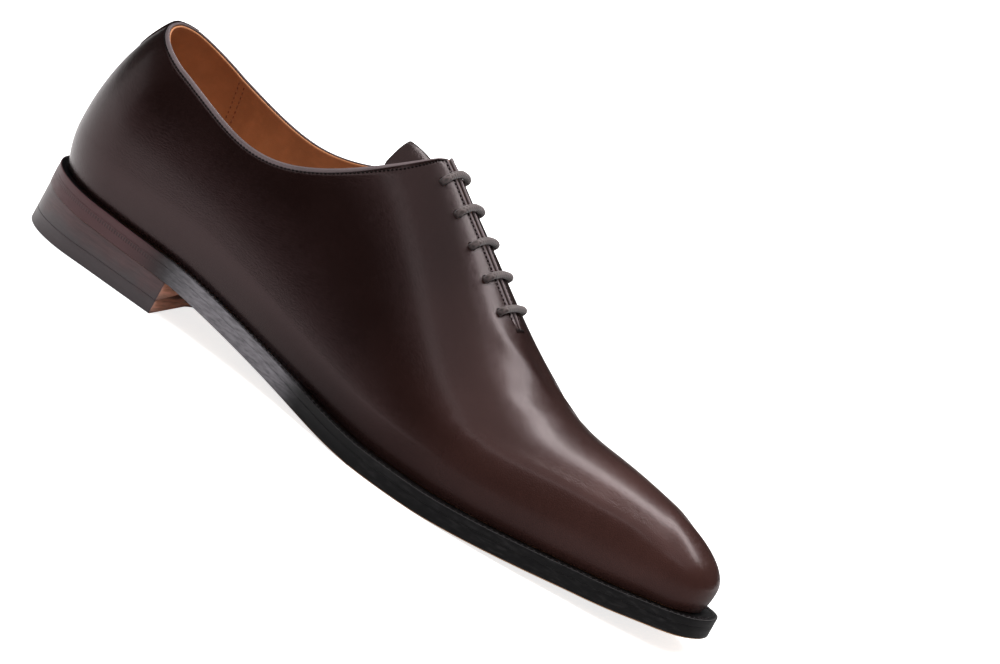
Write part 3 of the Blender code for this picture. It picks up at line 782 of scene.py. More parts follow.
def upper_material(name, looks, shade=1.0, rim=None):
    """Polished calf: cool brown quarters, a redder vamp and toe, fine grain and a clear coat; given rim rows,
    a painted sheen lightens the rolled topline edge.
    """
    colour = shaded(looks.upper_colour, shade)
    material, tree, shader = new_material(name, colour, looks.upper_roughness)
    vector = object_place(tree)
    grain, tone = calf(tree, vector, 1200.0)
    place = separate(tree, vector)
    forward = remap(tree, place["X"], 0.120, 0.225, 0.0, 1.0)
    base = mix_colour(tree, forward, colour, shaded(looks.toe_colour, shade))
    # Painted sheen: the rows at the rolled topline edge are lightened toward a pale colour, fading out before
    # the throat's end.
    if rim:
        across = grid_share(tree, "across")
        band = between(tree, across, (rim[0], rim[0] + 0.012), (rim[1], rim[1] + 0.012))
        end = THROAT_END - HEEL_CENTRE
        before = remap(tree, place["X"], end - 0.006, end - 0.001, RIM_PAINTED_SHEEN, 0.0)
        base = mix_colour(tree, times(tree, band, before), base, RIM_SHEEN_COLOUR)
    node = add_node(tree, "ShaderNodeHueSaturation")
    tree.links.new(base, node.inputs["Color"])
    tree.links.new(remap(tree, tone, *NOISE_SPAN, 0.82, 1.16), node.inputs["Value"])
    tree.links.new(node.outputs["Color"], shader.inputs["Base Color"])
    rough = remap(tree, tone, *NOISE_SPAN, looks.upper_roughness - 0.03, looks.upper_roughness + 0.04)
    tree.links.new(rough, shader.inputs["Roughness"])
    shader.inputs["Specular IOR Level"].default_value = 0.46
    shader.inputs["Specular Tint"].default_value = (1.0, 0.67, 0.69, 1.0)
    shader.inputs["Coat Weight"].default_value = looks.upper_coat
    shader.inputs["Coat Roughness"].default_value = 0.17
    fine = noise(tree, stretched(tree, vector, (1.0, 0.14, 0.14)), 640.0, 2.0, 0.6)
    along = between(tree, place["X"], (0.148, 0.164), (0.180, 0.220), smooth=True)
    down = arithmetic(tree, "ABSOLUTE", arithmetic(tree, "SUBTRACT", place["Z"], WRINKLE_HEIGHT), 0.0)
    band = times(tree, along, remap(tree, down, 0.002, 0.010, 1.0, 0.0, smooth=True))
    wrinkles = times(tree, band, remap(tree, fine, *NOISE_SPAN, 0.0, WRINKLE_DEPTH))
    bump(tree, shader, arithmetic(tree, "ADD", grain, wrinkles), 0.75, 0.00005)
    return material


def lining_material(name, colour):
    """Matt tan leather, mottled and lightly streaked."""
    material, tree, shader = new_material(name, colour, 0.6)
    vector = object_place(tree)
    grain, tone = calf(tree, vector, 1100.0)
    streaks = noise(tree, vector, 160.0, 5.0, 0.65)
    base = mix_colour(tree, remap(tree, tone, 0.35, 0.65, 0.0, 1.0), shaded(colour, 0.80), colour)
    base = mix_colour(tree, remap(tree, streaks, 0.45, 0.75, 0.0, 0.4), base, shaded(colour, 1.3))
    tree.links.new(base, shader.inputs["Base Color"])
    bump(tree, shader, grain, 0.25, 0.00008)
    return material


def edge_material(name, looks, roughness, outsole):
    """Dressed sole edge: wax unevenly taken and worn lighter in patches, and a painted sheen on the waist; on
    the welt a painted highlight along its top corner and painted shade on its top at the heel; on the outsole
    painted shade in the wheel's marks, and bare leather underneath.
    """
    material, tree, shader = new_material(name, looks.edge_colour, roughness)
    vector = object_place(tree)
    place = separate(tree, vector)
    along, across = grid_share(tree, "along"), grid_share(tree, "across")
    fibres = stretched(tree, vector, (1.0, 1.0, 5.0))
    rub = noise(tree, fibres, 210.0, 5.0, 0.62)
    slow = noise(tree, vector, 26.0, 2.0)
    patch = times(tree, remap(tree, rub, 0.48, 0.74, 0.0, 1.0),
                  remap(tree, slow, 0.4, 0.62, 0.02, 0.35))
    base = mix_colour(tree, patch, looks.edge_colour, WORN_EDGE)
    uneven = arithmetic(tree, "ADD", place["X"], remap(tree, slow, *NOISE_SPAN, -0.006, 0.006))
    near_heel = remap(tree, uneven, 0.018, 0.046, 1.0, 0.0, smooth=True)
    # Painted sheen: the waist's edge is lightened toward grey in streaks that follow the rub noise.
    waist = between(tree, place["X"], (0.030, 0.055), (0.092, 0.112), smooth=True)
    waist_sheen = times(tree, waist, remap(tree, rub, 0.35, 0.6, 0.5, 1.0))
    base = mix_colour(tree, waist_sheen, base, WAIST_SHEEN)
    if not outsole:
        # Painted shade: at the heel only the welt's side takes the heel's colour, and its top face stays
        # black.
        near_heel = times(tree, near_heel, remap(tree, across, 0.50, 0.56, 1.0, 0.0))
        # Painted highlight: a lighter line along the welt's top outer corner.
        corner = arithmetic(tree, "ABSOLUTE", arithmetic(tree, "SUBTRACT", across, 0.50), 0.0)
        base = mix_colour(tree, remap(tree, corner, 0.03, 0.07, 0.8, 0.0), base, WELT_CORNER_HIGHLIGHT)
    base = mix_colour(tree, near_heel, base, looks.heel_colour)
    fine = noise(tree, fibres, 900.0, 3.0)
    height = times(tree, arithmetic(tree, "ADD", rub, fine), 0.12)
    if outsole:
        bare = times(tree, remap(tree, across, *BARE_SHARE, 1.0, 0.0),
                     remap(tree, place["X"], 0.095, 0.150, 0.0, 1.0, smooth=True))
        flat = remap(tree, across, *FLAT_SHARE, 1.0, 0.0)
        base = mix_colour(tree, arithmetic(tree, "MAXIMUM", bare, flat), base, looks.under_colour)
        pressed = wheel_marks(tree, place, along, across, near_heel)
        # Painted shade: the wheel's pressed marks are darkened in colour as well as pressed in.
        base = mix_colour(tree, times(tree, pressed, 0.75), base, WHEEL_GROOVE_SHADE)
        height = arithmetic(tree, "ADD", height, times(tree, pressed, -1.3))
    tree.links.new(base, shader.inputs["Base Color"])
    rough = remap(tree, rub, *NOISE_SPAN, roughness - 0.06, roughness + 0.12)
    tree.links.new(rough, shader.inputs["Roughness"])
    shader.inputs["Specular IOR Level"].default_value = 0.32
    shader.inputs["Coat Weight"].default_value = 0.04
    shader.inputs["Coat Roughness"].default_value = 0.3
    bump(tree, shader, height, 0.9, 0.00012)
    return material


def wheel_marks(tree, place, along, across, near_heel):
    """A row of short upright marks along the sole's edge at the heel, as a mask."""
    off = arithmetic(tree, "ABSOLUTE", arithmetic(tree, "SUBTRACT", across, WHEEL_ROW), 0.0)
    row = times(tree, remap(tree, off, WHEEL_HALF_HEIGHT * 0.7, WHEEL_HALF_HEIGHT, 1.0, 0.0),
                remap(tree, place["X"], -0.020, 0.045, 0.3, 1.0))
    row = times(tree, row, near_heel)
    teeth = arithmetic(tree, "SINE", times(tree, along, WHEEL_MARKS * math.tau), 0.0)
    return times(tree, row, remap(tree, teeth, -0.3, 0.5, 1.0, 0.0))


def heel_material(name, looks):
    """Burnished heel lifts: burgundy leather in fine layers, blacker toward the floor and at the back."""
    material, tree, shader = new_material(name, looks.heel_colour, 0.36)
    vector = object_place(tree)
    place = separate(tree, vector)
    layers = noise(tree, stretched(tree, vector, (0.35, 0.35, 4.0)), 330.0, 4.0, 0.6)
    layered = remap(tree, layers, 0.35, 0.7, 0.0, 1.0)
    cloud = noise(tree, vector, 70.0, 3.0)
    uneven = arithmetic(tree, "ADD", place["Z"], remap(tree, cloud, *NOISE_SPAN, -0.003, 0.003))
    low = remap(tree, uneven, 0.0055, 0.0120, 1.0, 0.0, smooth=True)
    back = remap(tree, place["X"], -0.032, -0.016, 0.75, 0.0, smooth=True)
    dark = times(tree, arithmetic(tree, "MAXIMUM", low, back), 0.8)
    base = mix_colour(tree, layered, looks.heel_colour, shaded(looks.heel_colour, 0.55))
    base = mix_colour(tree, dark, base, HEEL_DARK)
    facing = separate(tree, add_node(tree, "ShaderNodeNewGeometry").outputs["Normal"])
    breast = times(tree, remap(tree, facing["X"], 0.62, 0.8, 0.0, 1.0),
                   remap(tree, place["X"], 0.026, 0.030, 0.0, 1.0))
    bare = mix_colour(tree, layered, looks.breast_colour, shaded(looks.breast_colour, 0.5))
    tree.links.new(mix_colour(tree, breast, base, bare), shader.inputs["Base Color"])
    tree.links.new(remap(tree, cloud, *NOISE_SPAN, 0.28, 0.44), shader.inputs["Roughness"])
    shader.inputs["Coat Weight"].default_value = 0.25
    shader.inputs["Coat Roughness"].default_value = 0.25
    bump(tree, shader, layers, 0.2, 0.0002)
    return material


def lace_material(name, colour):
    """Waxed round lace: a fine plait that follows the cord's own length and girth, painted darker in its
    grooves and lighter on its ribs as painted shade and highlight.
    """
    material, tree, shader = new_material(name, colour, 0.55)
    cord = separate(tree, add_node(tree, "ShaderNodeUVMap", uv_map="along_and_round").outputs["UV"])
    ribs = []
    for sign in (1.0, -1.0):
        turned = times(tree, cord["Y"], sign * math.tau * 4)
        run = times(tree, cord["X"], math.tau / LACE_PLAIT)
        ribs.append(arithmetic(tree, "SINE", arithmetic(tree, "ADD", turned, run), 0.0))
    plait = arithmetic(tree, "MAXIMUM", *ribs)
    fuzz = noise(tree, object_place(tree), 2600.0, 3.0, 0.7)
    # Painted shade and highlight: the plait's grooves darker and its ribs lighter, with a random fuzz of tone
    # on top.
    shade = arithmetic(tree, "ADD", remap(tree, plait, -0.4, 1.0, 0.0, 0.7),
                       remap(tree, fuzz, *NOISE_SPAN, -0.2, 0.35))
    tree.links.new(mix_colour(tree, shade, shaded(colour, 0.55), shaded(colour, 1.35)),
                   shader.inputs["Base Color"])
    shader.inputs["Sheen Weight"].default_value = 0.25
    shader.inputs["Sheen Roughness"].default_value = 0.4
    bump(tree, shader, arithmetic(tree, "ADD", plait, fuzz), 0.45, 0.00025)
    return material


def thread_material(name, colour):
    """Dull thread."""
    material, tree, shader = new_material(name, colour, 0.6)
    shader.inputs["Specular IOR Level"].default_value = 0.15
    fine = noise(tree, object_place(tree), 4000.0, 2.0)
    tone = mix_colour(tree, fine, shaded(colour, 0.7), shaded(colour, 1.3))
    tree.links.new(tone, shader.inputs["Base Color"])
    bump(tree, shader, fine, 0.4, 0.0001)
    return material


def colour_property(name, description, default):
    return FloatVectorProperty(name=name, description=description, subtype="COLOR", size=3, min=0, max=1,
                               default=default)


def share_property(name, description, default):
    return FloatProperty(name=name, description=description, subtype="FACTOR", min=0, max=1, default=default)


def size_property(name, description, default):
    return FloatProperty(name=name, description=description, subtype="DISTANCE", unit="LENGTH",
                         default=default)


class ShoeLooks(bpy.types.PropertyGroup):
    """Colours and finishes of the shoe."""

    upper_colour: colour_property("Quarter colour", "Brown of the quarters", (0.0074, 0.0028, 0.0023))
    toe_colour: colour_property("Toe colour", "Redder brown of the vamp and toe", (0.0370, 0.0150, 0.0122))
    upper_roughness: share_property("Leather roughness", "Roughness under the polish", 0.23)
    upper_coat: share_property("Polish", "Weight of the polish coat", 0.22)
    lining_colour: colour_property("Lining colour", "Tan of the lining", (0.42, 0.165, 0.066))
    lace_colour: colour_property("Lace colour", "Grey-brown of the waxed lace", (0.082, 0.060, 0.058))
    edge_colour: colour_property("Edge colour", "Black dressing of the sole's edge", (0.0060, 0.0055, 0.0060))
    heel_colour: colour_property("Heel colour", "Burgundy of the heel lifts", (0.064, 0.027, 0.029))
    breast_colour: colour_property("Breast colour", "Brown of the heel's front", (0.72, 0.35, 0.25))
    under_colour: colour_property("Underside colour", "Natural leather of the sole", (0.42, 0.24, 0.13))


class ShoeSizes(bpy.types.PropertyGroup):
    """Sizes that a user would change, all small against the shoe."""

    stitch_pitch: size_property("Stitch pitch", "Distance from stitch to stitch on the upper", 0.00152)
    lace_radius: size_property("Lace radius", "Half the lace's thickness", 0.00138)
    around: IntProperty(name="Facets round", description="Facets of the upper once round", default=560)
    across: IntProperty(name="Facets up", description="Facets of the upper from feather to rim", default=104)


def looks():
    return bpy.context.scene.shoe_looks


def sizes():
    return bpy.context.scene.shoe_sizes


# The pieces

def even_loop(share):
    """Loop places with stations that mirror each other and fall on the throat's end."""
    s = np.where(share <= 0.5, share, 1 - share) * FULL_LOOP
    return fold(np.where(share <= 0.5, OUTER, INNER), s)


def wall_profile(b, face_rows, total):
    """For a profile's rows, the share of the way up the face or the back, and of the roll between them."""
    row = np.round(b * total)
    roll_end = face_rows + ROLL_STEPS
    back = 1 - np.clip((row - roll_end) / (total - roll_end), 0, 1)
    share = np.where(row <= face_rows, row / face_rows, back)
    return share, np.clip((row - face_rows) / ROLL_STEPS, 0, 1)


def make_wall(name, depths, drop, rows, around, material, slot, creased):
    """One closed shell of leather between two depths, with a rolled top edge and a joined vamp."""
    face_rows, back_rows = rows
    total = face_rows + ROLL_STEPS + back_rows
    thick = depths[1] - depths[0]
    fullness = thick * ROLL_FULLNESS

    def place(a, b):
        share, roll = wall_profile(b, face_rows, total)
        loop = even_loop(a)
        once, number = np.unique(loop, return_inverse=True)
        top, scale = top_climb(once)[number], rim_scale(once)[number]
        s = section_line(loop)[0]
        opened = s < station(THROAT_END) - 1e-6
        climb = -1 + (1 + top) * np.interp(share, *RIM_CROWDING)
        rise = (drop + fullness) * opened
        near_top = np.clip((climb - top + 0.05) / 0.05, 0, 1)
        depth = depths[0] + thick * (0.5 - 0.5 * np.cos(roll * math.pi))
        if creased:
            below = (top - climb) * scale + rise * near_top
            fade = opened * np.clip((station(THROAT_END) - 0.002 - s) / 0.003, 0, 1)
            depth = depth + crease_depth(outside(loop, climb), climb) + rim_relief(below) * fade
        up = unit(outside(loop, climb + 0.004) - outside(loop, climb - 0.004))
        lift = fullness * np.sin(roll * math.pi) * opened - rise * near_top
        return in_part(skin(loop, climb, depth) + up * lift[..., None])

    mesh = grid_mesh(around, total, place)
    weld_vamp(mesh, face_rows / total, (face_rows + ROLL_STEPS) / total)
    return add_piece(name, mesh, material, slot)


def weld_vamp(mesh, rim_low, rim_high):
    """Takes the rim's faces away beyond the throat's end, where both halves of the leather are one."""
    along, across = mesh.verts.layers.float["along"], mesh.verts.layers.float["across"]
    gone = []
    for face in mesh.faces:
        a = sum(corner[along] for corner in face.verts) / len(face.verts)
        b = sum(corner[across] for corner in face.verts) / len(face.verts)
        s = min(a, 1 - a) * FULL_LOOP
        if rim_low < b < rim_high and s > station(THROAT_END):
            gone.append(face)
    bmesh.ops.delete(mesh, geom=gone, context="FACES")
    weld(mesh, 4e-6)


def punch_eyelets(piece, material):
    """Cuts the lace holes through a wall."""
    punch = bmesh.new()
    for side in (OUTER, INNER):
        for row in range(EYELET_ROWS):
            loop = loop_at(side, EYELET_FIRST + EYELET_PITCH * row)
            climb = climb_to_reach(loop, EYELET_REACH)
            normal = Vector(outward(loop, climb))
            turn = normal.to_track_quat("Z", "Y").to_matrix().to_4x4()
            turn.translation = Vector(in_part(skin(loop, climb, WALL / 2)))
            bmesh.ops.create_cone(punch, cap_ends=True, segments=20, radius1=EYELET_RADIUS,
                                  radius2=EYELET_RADIUS, depth=WALL * 3, matrix=turn)
    data = bpy.data.meshes.new("eyelet_punch")
    punch.to_mesh(data)
    punch.free()
    cutter = bpy.data.objects.new("eyelet_punch", data)
    bpy.context.scene.collection.objects.link(cutter)
    cut = piece.modifiers.new("eyelets", "BOOLEAN")
    cut.operation = "DIFFERENCE"
    cut.solver = "EXACT"
    cut.object = cutter
    bpy.context.view_layer.update()
    made = bpy.data.meshes.new_from_object(piece.evaluated_get(bpy.context.evaluated_depsgraph_get()))
    piece.modifiers.clear()
    piece.data = made
    made.materials.clear()
    made.materials.append(material)
    bpy.data.objects.remove(cutter, do_unlink=True)
    edges = bmesh.new()
    edges.from_mesh(made)
    for edge in edges.edges:
        if edge.is_manifold and edge.calc_face_angle(0.0) > SHARP:
            edge.smooth = False
    edges.to_mesh(made)
    edges.free()


class SHOE_OT_upper(bpy.types.Operator):
    """Make the one-piece leather upper with its rolled topline and lace holes"""
    bl_idname = "shoe.upper"
    bl_label = "Upper"

    def execute(self, context):
        face_rows = sizes().across
        total = face_rows + ROLL_STEPS + UPPER_BACK_ROWS
        # Rows of the rolled topline edge that carry the painted sheen
        rim = [(face_rows + row) / total for row in SHEEN_ROWS]
        material = upper_material("polished_calf", looks(), 1.0, rim)
        piece = make_wall("upper_calf", (0.0, OUTER_LEATHER), 0.0, (face_rows, UPPER_BACK_ROWS),
                          sizes().around, material, "upper_leather", True)
        punch_eyelets(piece, material)
        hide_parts("upper")
        return {"FINISHED"}


class SHOE_OT_lining(bpy.types.Operator):
    """Make the tan lining inside the upper"""
    bl_idname = "shoe.lining"
    bl_label = "Lining"

    def execute(self, context):
        material = lining_material("tan_lining", tuple(looks().lining_colour))
        piece = make_wall("lining", (OUTER_LEATHER + 0.00005, WALL), LINING_TOP_DROP, (40, 50), 320,
                          material, "sock_leather", False)
        punch_eyelets(piece, material)
        return {"FINISHED"}


def edge_row(inset, side, from_s, to_s, count=900):
    """A line on the upper's face at a distance under its top edge."""
    loops = fold(side, np.linspace(from_s, to_s, count))
    return loops, top_climb(loops) - inset / rim_scale(loops)


class SHOE_OT_stitches(bpy.types.Operator):
    """Sew the topline, the throat, the lining's seam and the bar under the throat"""
    bl_idname = "shoe.stitches"
    bl_label = "Stitches"

    def execute(self, context):
        thread = thread_material("dark_thread", (0.006, 0.004, 0.004))
        tan = thread_material("tan_thread", (0.17, 0.062, 0.028))
        pitch = sizes().stitch_pitch
        for side, word in ((OUTER, "outer"), (INNER, "inner")):
            loops, climbs = edge_row(STITCH_LINE, side, 0.0, station(STITCH_END))
            row = surface_row(loops, climbs, 0.00008, pitch)
            beads("edge_stitches_" + word, *row, (pitch * 0.74, 0.00066, 0.00052), thread, "upper_leather")
        self.sew_throat_bar(thread)
        for number, x in enumerate(LINING_SEAM):
            loops = np.full(60, loop_at(INNER, x))
            climbs = climb_to_height(loops, collar_height(loops) - np.linspace(*LINING_SEAM_HEIGHTS, 60))
            spots, along, up = surface_row(loops, climbs, WALL, 0.0019)
            beads("lining_seam_%d" % number, spots, along, -up, (0.0016, 0.0005, 0.0004), tan, "sock_leather")
        return {"FINISHED"}

    def sew_throat_bar(self, thread):
        """Five long stitches side by side, straight across the end of the slit."""
        spots, normals = [], []
        for reach in np.linspace(-0.0026, 0.0026, 5):
            loop = loop_at(OUTER if reach < 0 else INNER, THROAT_END - 0.0006)
            climb = climb_to_reach(loop, abs(reach))
            spots.append(leather_face(loop, climb))
            normals.append(outward(loop, climb))
        beads("throat_bar", spots, [(1, 0, -0.5)] * len(spots), normals, (0.0022, 0.0007, 0.0006),
              thread, "upper_leather")


def signed_power(value, power):
    """A power that keeps the sign; under 1 it squares off a circle's sine and cosine."""
    return np.sign(value) * np.abs(value) ** power


class SHOE_OT_tongue(bpy.types.Operator):
    """Make the leather tongue under the throat"""
    bl_idname = "shoe.tongue"
    bl_label = "Tongue"

    def execute(self, context):
        material = upper_material("tongue_calf", looks(), 1.15)
        length = TONGUE[-1][0] - TONGUE_TOP

        def place(a, b):
            turn = b * math.tau
            share = signed_power(np.cos(turn), 0.8)
            half_thick = TONGUE_THICK / 2 * signed_power(np.sin(turn), 0.45)
            x = TONGUE_TOP + length * (0.5 - 0.5 * np.cos(a * math.pi))
            loop = loop_at(np.where(share <= 0, OUTER, INNER), x)
            climb = climb_to_reach(loop, tongue_width(x) * np.abs(share))
            depth = TONGUE_DEPTH + TONGUE_THICK / 2 + tongue_sink(x) - half_thick
            return in_part(skin(loop, climb, depth))

        mesh = grid_mesh(90, 88, place)
        weld(mesh)
        close_loop(mesh)
        piece = add_piece("tongue_calf", mesh, material, "tongue_leather")
        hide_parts("tongue")
        return {"FINISHED"}


def lace_route():
    """The lace's middle line: bars on top, runs from row to row inside; the rows count down from the top."""
    over, under = sizes().lace_radius + 0.0001, -(WALL + SOLID_LACE_RADIUS + FIT)
    outer_lane, inner_lane = EYELET_REACH + LACE_LANE, EYELET_REACH - LACE_LANE

    def spot(side, row, reach, height):
        loop = loop_at(side, EYELET_FIRST + EYELET_PITCH * row)
        climb = climb_to_reach(loop, reach)
        return Vector(in_part(skin(loop, climb, -height)))

    def bar(side, row):
        entry = EYELET_REACH - 0.0003
        # Half a bar from under its eyelet to the throat, as reach and height
        half = [(EYELET_REACH, under * 0.78), (entry, under * 0.29), (entry, over * 0.75),
                (entry - 0.0006, over + 0.0002), (entry - 0.0026, over + 0.0002), (0.0045, over),
                (0.0012, over - 0.0001)]
        there = [spot(side, row, reach, height) for reach, height in half]
        return there + [spot(-side, row, reach, height) for reach, height in reversed(half)]

    def run(side, first, last, lane):
        sense = 1 if last > first else -1
        gap = abs(last - first)
        between = [0.5] if gap == 1 else [LACE_IN_LANE, 1.0, gap - LACE_IN_LANE]
        steps = [LACE_LEAVES] + between + [gap - LACE_LEAVES]
        reaches = [EYELET_REACH] + [lane] * len(between) + [EYELET_REACH]
        return [spot(side, first + sense * step, reach, under) for step, reach in zip(steps, reaches)]

    path = [spot(OUTER, row, EYELET_REACH, under) for row in (LACE_END, 1 - LACE_LEAVES)]
    path += bar(OUTER, 1) + run(INNER, 1, 3, outer_lane)
    path += bar(INNER, 3) + run(OUTER, 3, 4, EYELET_REACH)
    path += bar(OUTER, 4) + run(INNER, 4, 2, inner_lane)
    path += bar(INNER, 2) + run(OUTER, 2, 0, outer_lane)
    path += bar(OUTER, 0) + [spot(INNER, row, EYELET_REACH, under) for row in (LACE_LEAVES, LACE_END)]
    return eased_path(path)


def eased_path(path):
    """Cuts a path's corners three times over and thins out crowded points."""
    for _ in range(3):
        eased = [path[0]]
        for a, b in zip(path, path[1:]):
            eased += [a.lerp(b, 0.25), a.lerp(b, 0.75)]
        path = eased + [path[-1]]
    kept = [path[0]]
    for point in path[1:-1]:
        if (point - kept[-1]).length > 0.00035:
            kept.append(point)
    return kept + [path[-1]]


def cord_mesh(path, radius, sides):
    """A round cord bent from a grid, with its length and girth kept as its UV map."""
    spots = np.array(path)
    ahead = unit(np.gradient(spots, axis=0))
    across = [np.array((path[1] - path[0]).orthogonal().normalized())]
    for direction in ahead:
        across.append(unit(across[-1] - direction * across[-1].dot(direction)))
    across = np.array(across[1:])
    other = np.cross(ahead, across)
    runs = np.concatenate([[0.0], np.cumsum(np.linalg.norm(np.diff(spots, axis=0), axis=1))])
    last = len(spots) - 1

    def place(a, b):
        i = np.round(a * last).astype(int)
        turn = (b * math.tau)[:, None]
        return spots[i] + (across[i] * np.cos(turn) + other[i] * np.sin(turn)) * radius

    mesh = grid_mesh(last, sides, place)
    layer = mesh.loops.layers.uv.new("along_and_round")
    along = mesh.verts.layers.float["along"]
    round_it = mesh.verts.layers.float["across"]
    for face in mesh.faces:
        for corner in face.loops:
            corner[layer].uv = (runs[round(corner.vert[along] * last)], corner.vert[round_it])
    weld(mesh)
    close_loop(mesh)
    return mesh, runs[-1]


class SHOE_OT_lace(bpy.types.Operator):
    """Run the waxed lace through the eyelets, its ends hidden inside"""
    bl_idname = "shoe.lace"
    bl_label = "Lace"

    def execute(self, context):
        path = lace_route()
        mesh, length = cord_mesh(path, sizes().lace_radius, 14)
        material = lace_material("waxed_cotton", tuple(looks().lace_colour))
        piece = add_piece("waxed_lace", mesh, material, "lace_cord")
        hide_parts("lace")
        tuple(path[0])
        return {"FINISHED"}


class SHOE_OT_back_tab(bpy.types.Operator):
    """Make the small tab over the top of the back seam and its stitches"""
    bl_idname = "shoe.back_tab"
    bl_label = "Back tab"

    def execute(self, context):
        material = upper_material("tab_calf", looks(), 0.95)
        first, last = TAB[0][0], TAB[-1][0]

        def place(a, b):
            s = first + (last - first) * np.sin(math.pi / 2 * a)
            loop = np.mod(-s, FULL_LOOP)
            turn = b * math.tau
            share = 0.5 - 0.5 * signed_power(np.cos(turn), 0.6)
            climb = climb_to_height(loop, collar_height(loop) - TAB_BELOW_RIM - tab_drop(s) * share)
            lift = TAB_LIFT + TAB_THICK * (0.5 + 0.5 * signed_power(np.sin(turn), 0.4))
            return in_part(skin(loop, climb, -lift))

        mesh = grid_mesh(60, 56, place)
        weld(mesh)
        close_loop(mesh)
        piece = add_piece("back_tab_calf", mesh, material, "tab_leather")
        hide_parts("back_tab")
        s = np.linspace(first + 0.001, last - 0.0014, 200)
        loops = np.mod(-s, FULL_LOOP)
        heights = collar_height(loops) - TAB_BELOW_RIM - tab_drop(s) + TAB_STITCH_INSET
        climbs = climb_to_height(loops, heights)
        loops = np.where(loops > HALF_LOOP, loops - FULL_LOOP, loops)
        row = surface_row(loops, climbs, -(TAB_LIFT + TAB_THICK + 0.00005), sizes().stitch_pitch * 0.85)
        beads("back_tab_stitches", *row, (0.0013, 0.0005, 0.0004),
              thread_material("tab_thread", (0.014, 0.010, 0.010)), "tab_leather")
        return {"FINISHED"}


def plate_place(profile, low_at, high_at, edge_at, hollow=None):
    """Carries a grid over a flat piece: from its centre out over a rounded edge and back."""
    shares, insets, rises = np.array(profile).T
    number = np.arange(len(profile))

    def place(loop, b):
        at = b * (len(profile) - 1)
        share, inset, rise = (np.interp(at, number, values) for values in (shares, insets, rises))
        centre = section_line(loop)[1]
        edge = edge_at(loop, inset)
        x = centre + (edge[..., 0] - centre) * share
        y = edge[..., 1] * share
        if hollow is not None:
            x = x - hollow(loop) * (1 - share * share)
        low, high = low_at(x), high_at(x)
        return in_part(points(x, y, low + (high - low) * rise))
    return place


def sole_edge(loop, inset):
    """The sole's outline, drawn in by an inset."""
    _, centre, out_x, out_y = section_line(loop)
    away = sole_reach(loop) - inset
    return points(centre + out_x * away, out_y * away, 0.0)


def lining_edge(loop, inset):
    """The foot of the wall's inside, drawn in by an inset."""
    return skin(loop, np.full(np.shape(loop), -1.0), WALL + inset)


def rounded_profile(thickness, corners, flats):
    """A plate's profile with two rounded corners: shares of the way out, insets and shares of the height."""
    radius_low, radius_high, steps, inset = corners
    turns = [math.pi / 2 * k / steps for k in range(steps + 1)]
    low = [(1.0, inset + radius_low * (1 - math.sin(t)), radius_low * (1 - math.cos(t)) / thickness)
           for t in turns]
    high = [(1.0, inset + radius_high * (1 - math.cos(t)), 1 - radius_high * (1 - math.sin(t)) / thickness)
            for t in turns]
    inward = [(share, low[0][1], 0.0) for share in flats]
    back = [(share, high[-1][1], 1.0) for share in reversed(flats)]
    return inward + low + high + back


def plate(name, thickness, low_at, edge_at, corners, around, material, slot, span=(0.0, FULL_LOOP),
          hollow=None, flats=(0.0, 0.35, 0.7, 0.9), high_at=None):
    """A flat piece between two heights, all round the shoe or over a span of it."""
    profile = rounded_profile(thickness, corners, flats)
    carry = plate_place(profile, low_at, high_at or (lambda x: low_at(x) + thickness), edge_at, hollow)
    mesh = grid_mesh(around, len(profile) - 1, lambda a, b: carry(span[0] + (span[1] - span[0]) * a, b))
    weld(mesh)
    close_loop(mesh)
    bmesh.ops.recalc_face_normals(mesh, faces=mesh.faces)
    return add_piece(name, mesh, material, slot)


# The welt's profile, from its root out over its edge and back: each row's share of the way out and of the
# height, the row that carries the wheel's marks, and the row of stitches on top
WELT_OUT = (0.5, 1, 1, 1, 1, 0.99, 0.97, 0.86, 0.5, 0.14, 0, 0, 0.5)
WELT_RISE = (0, 0, 0.10, 0.5, 0.85, 0.96, 1, 0.93, 0.90, 0.90, 0.90, 0, 0)
WELT_MARKED_ROW = 7
WELT_MARK_PITCH = 0.0011
WELT_MARK_DEPTH = 0.00012
WELT_LOW = OUTSOLE + 0.00003
WELT_STITCH_PITCH = 0.0024
WELT_STITCH_INSET = 0.0021
WELT_STITCHED_FROM = 0.070


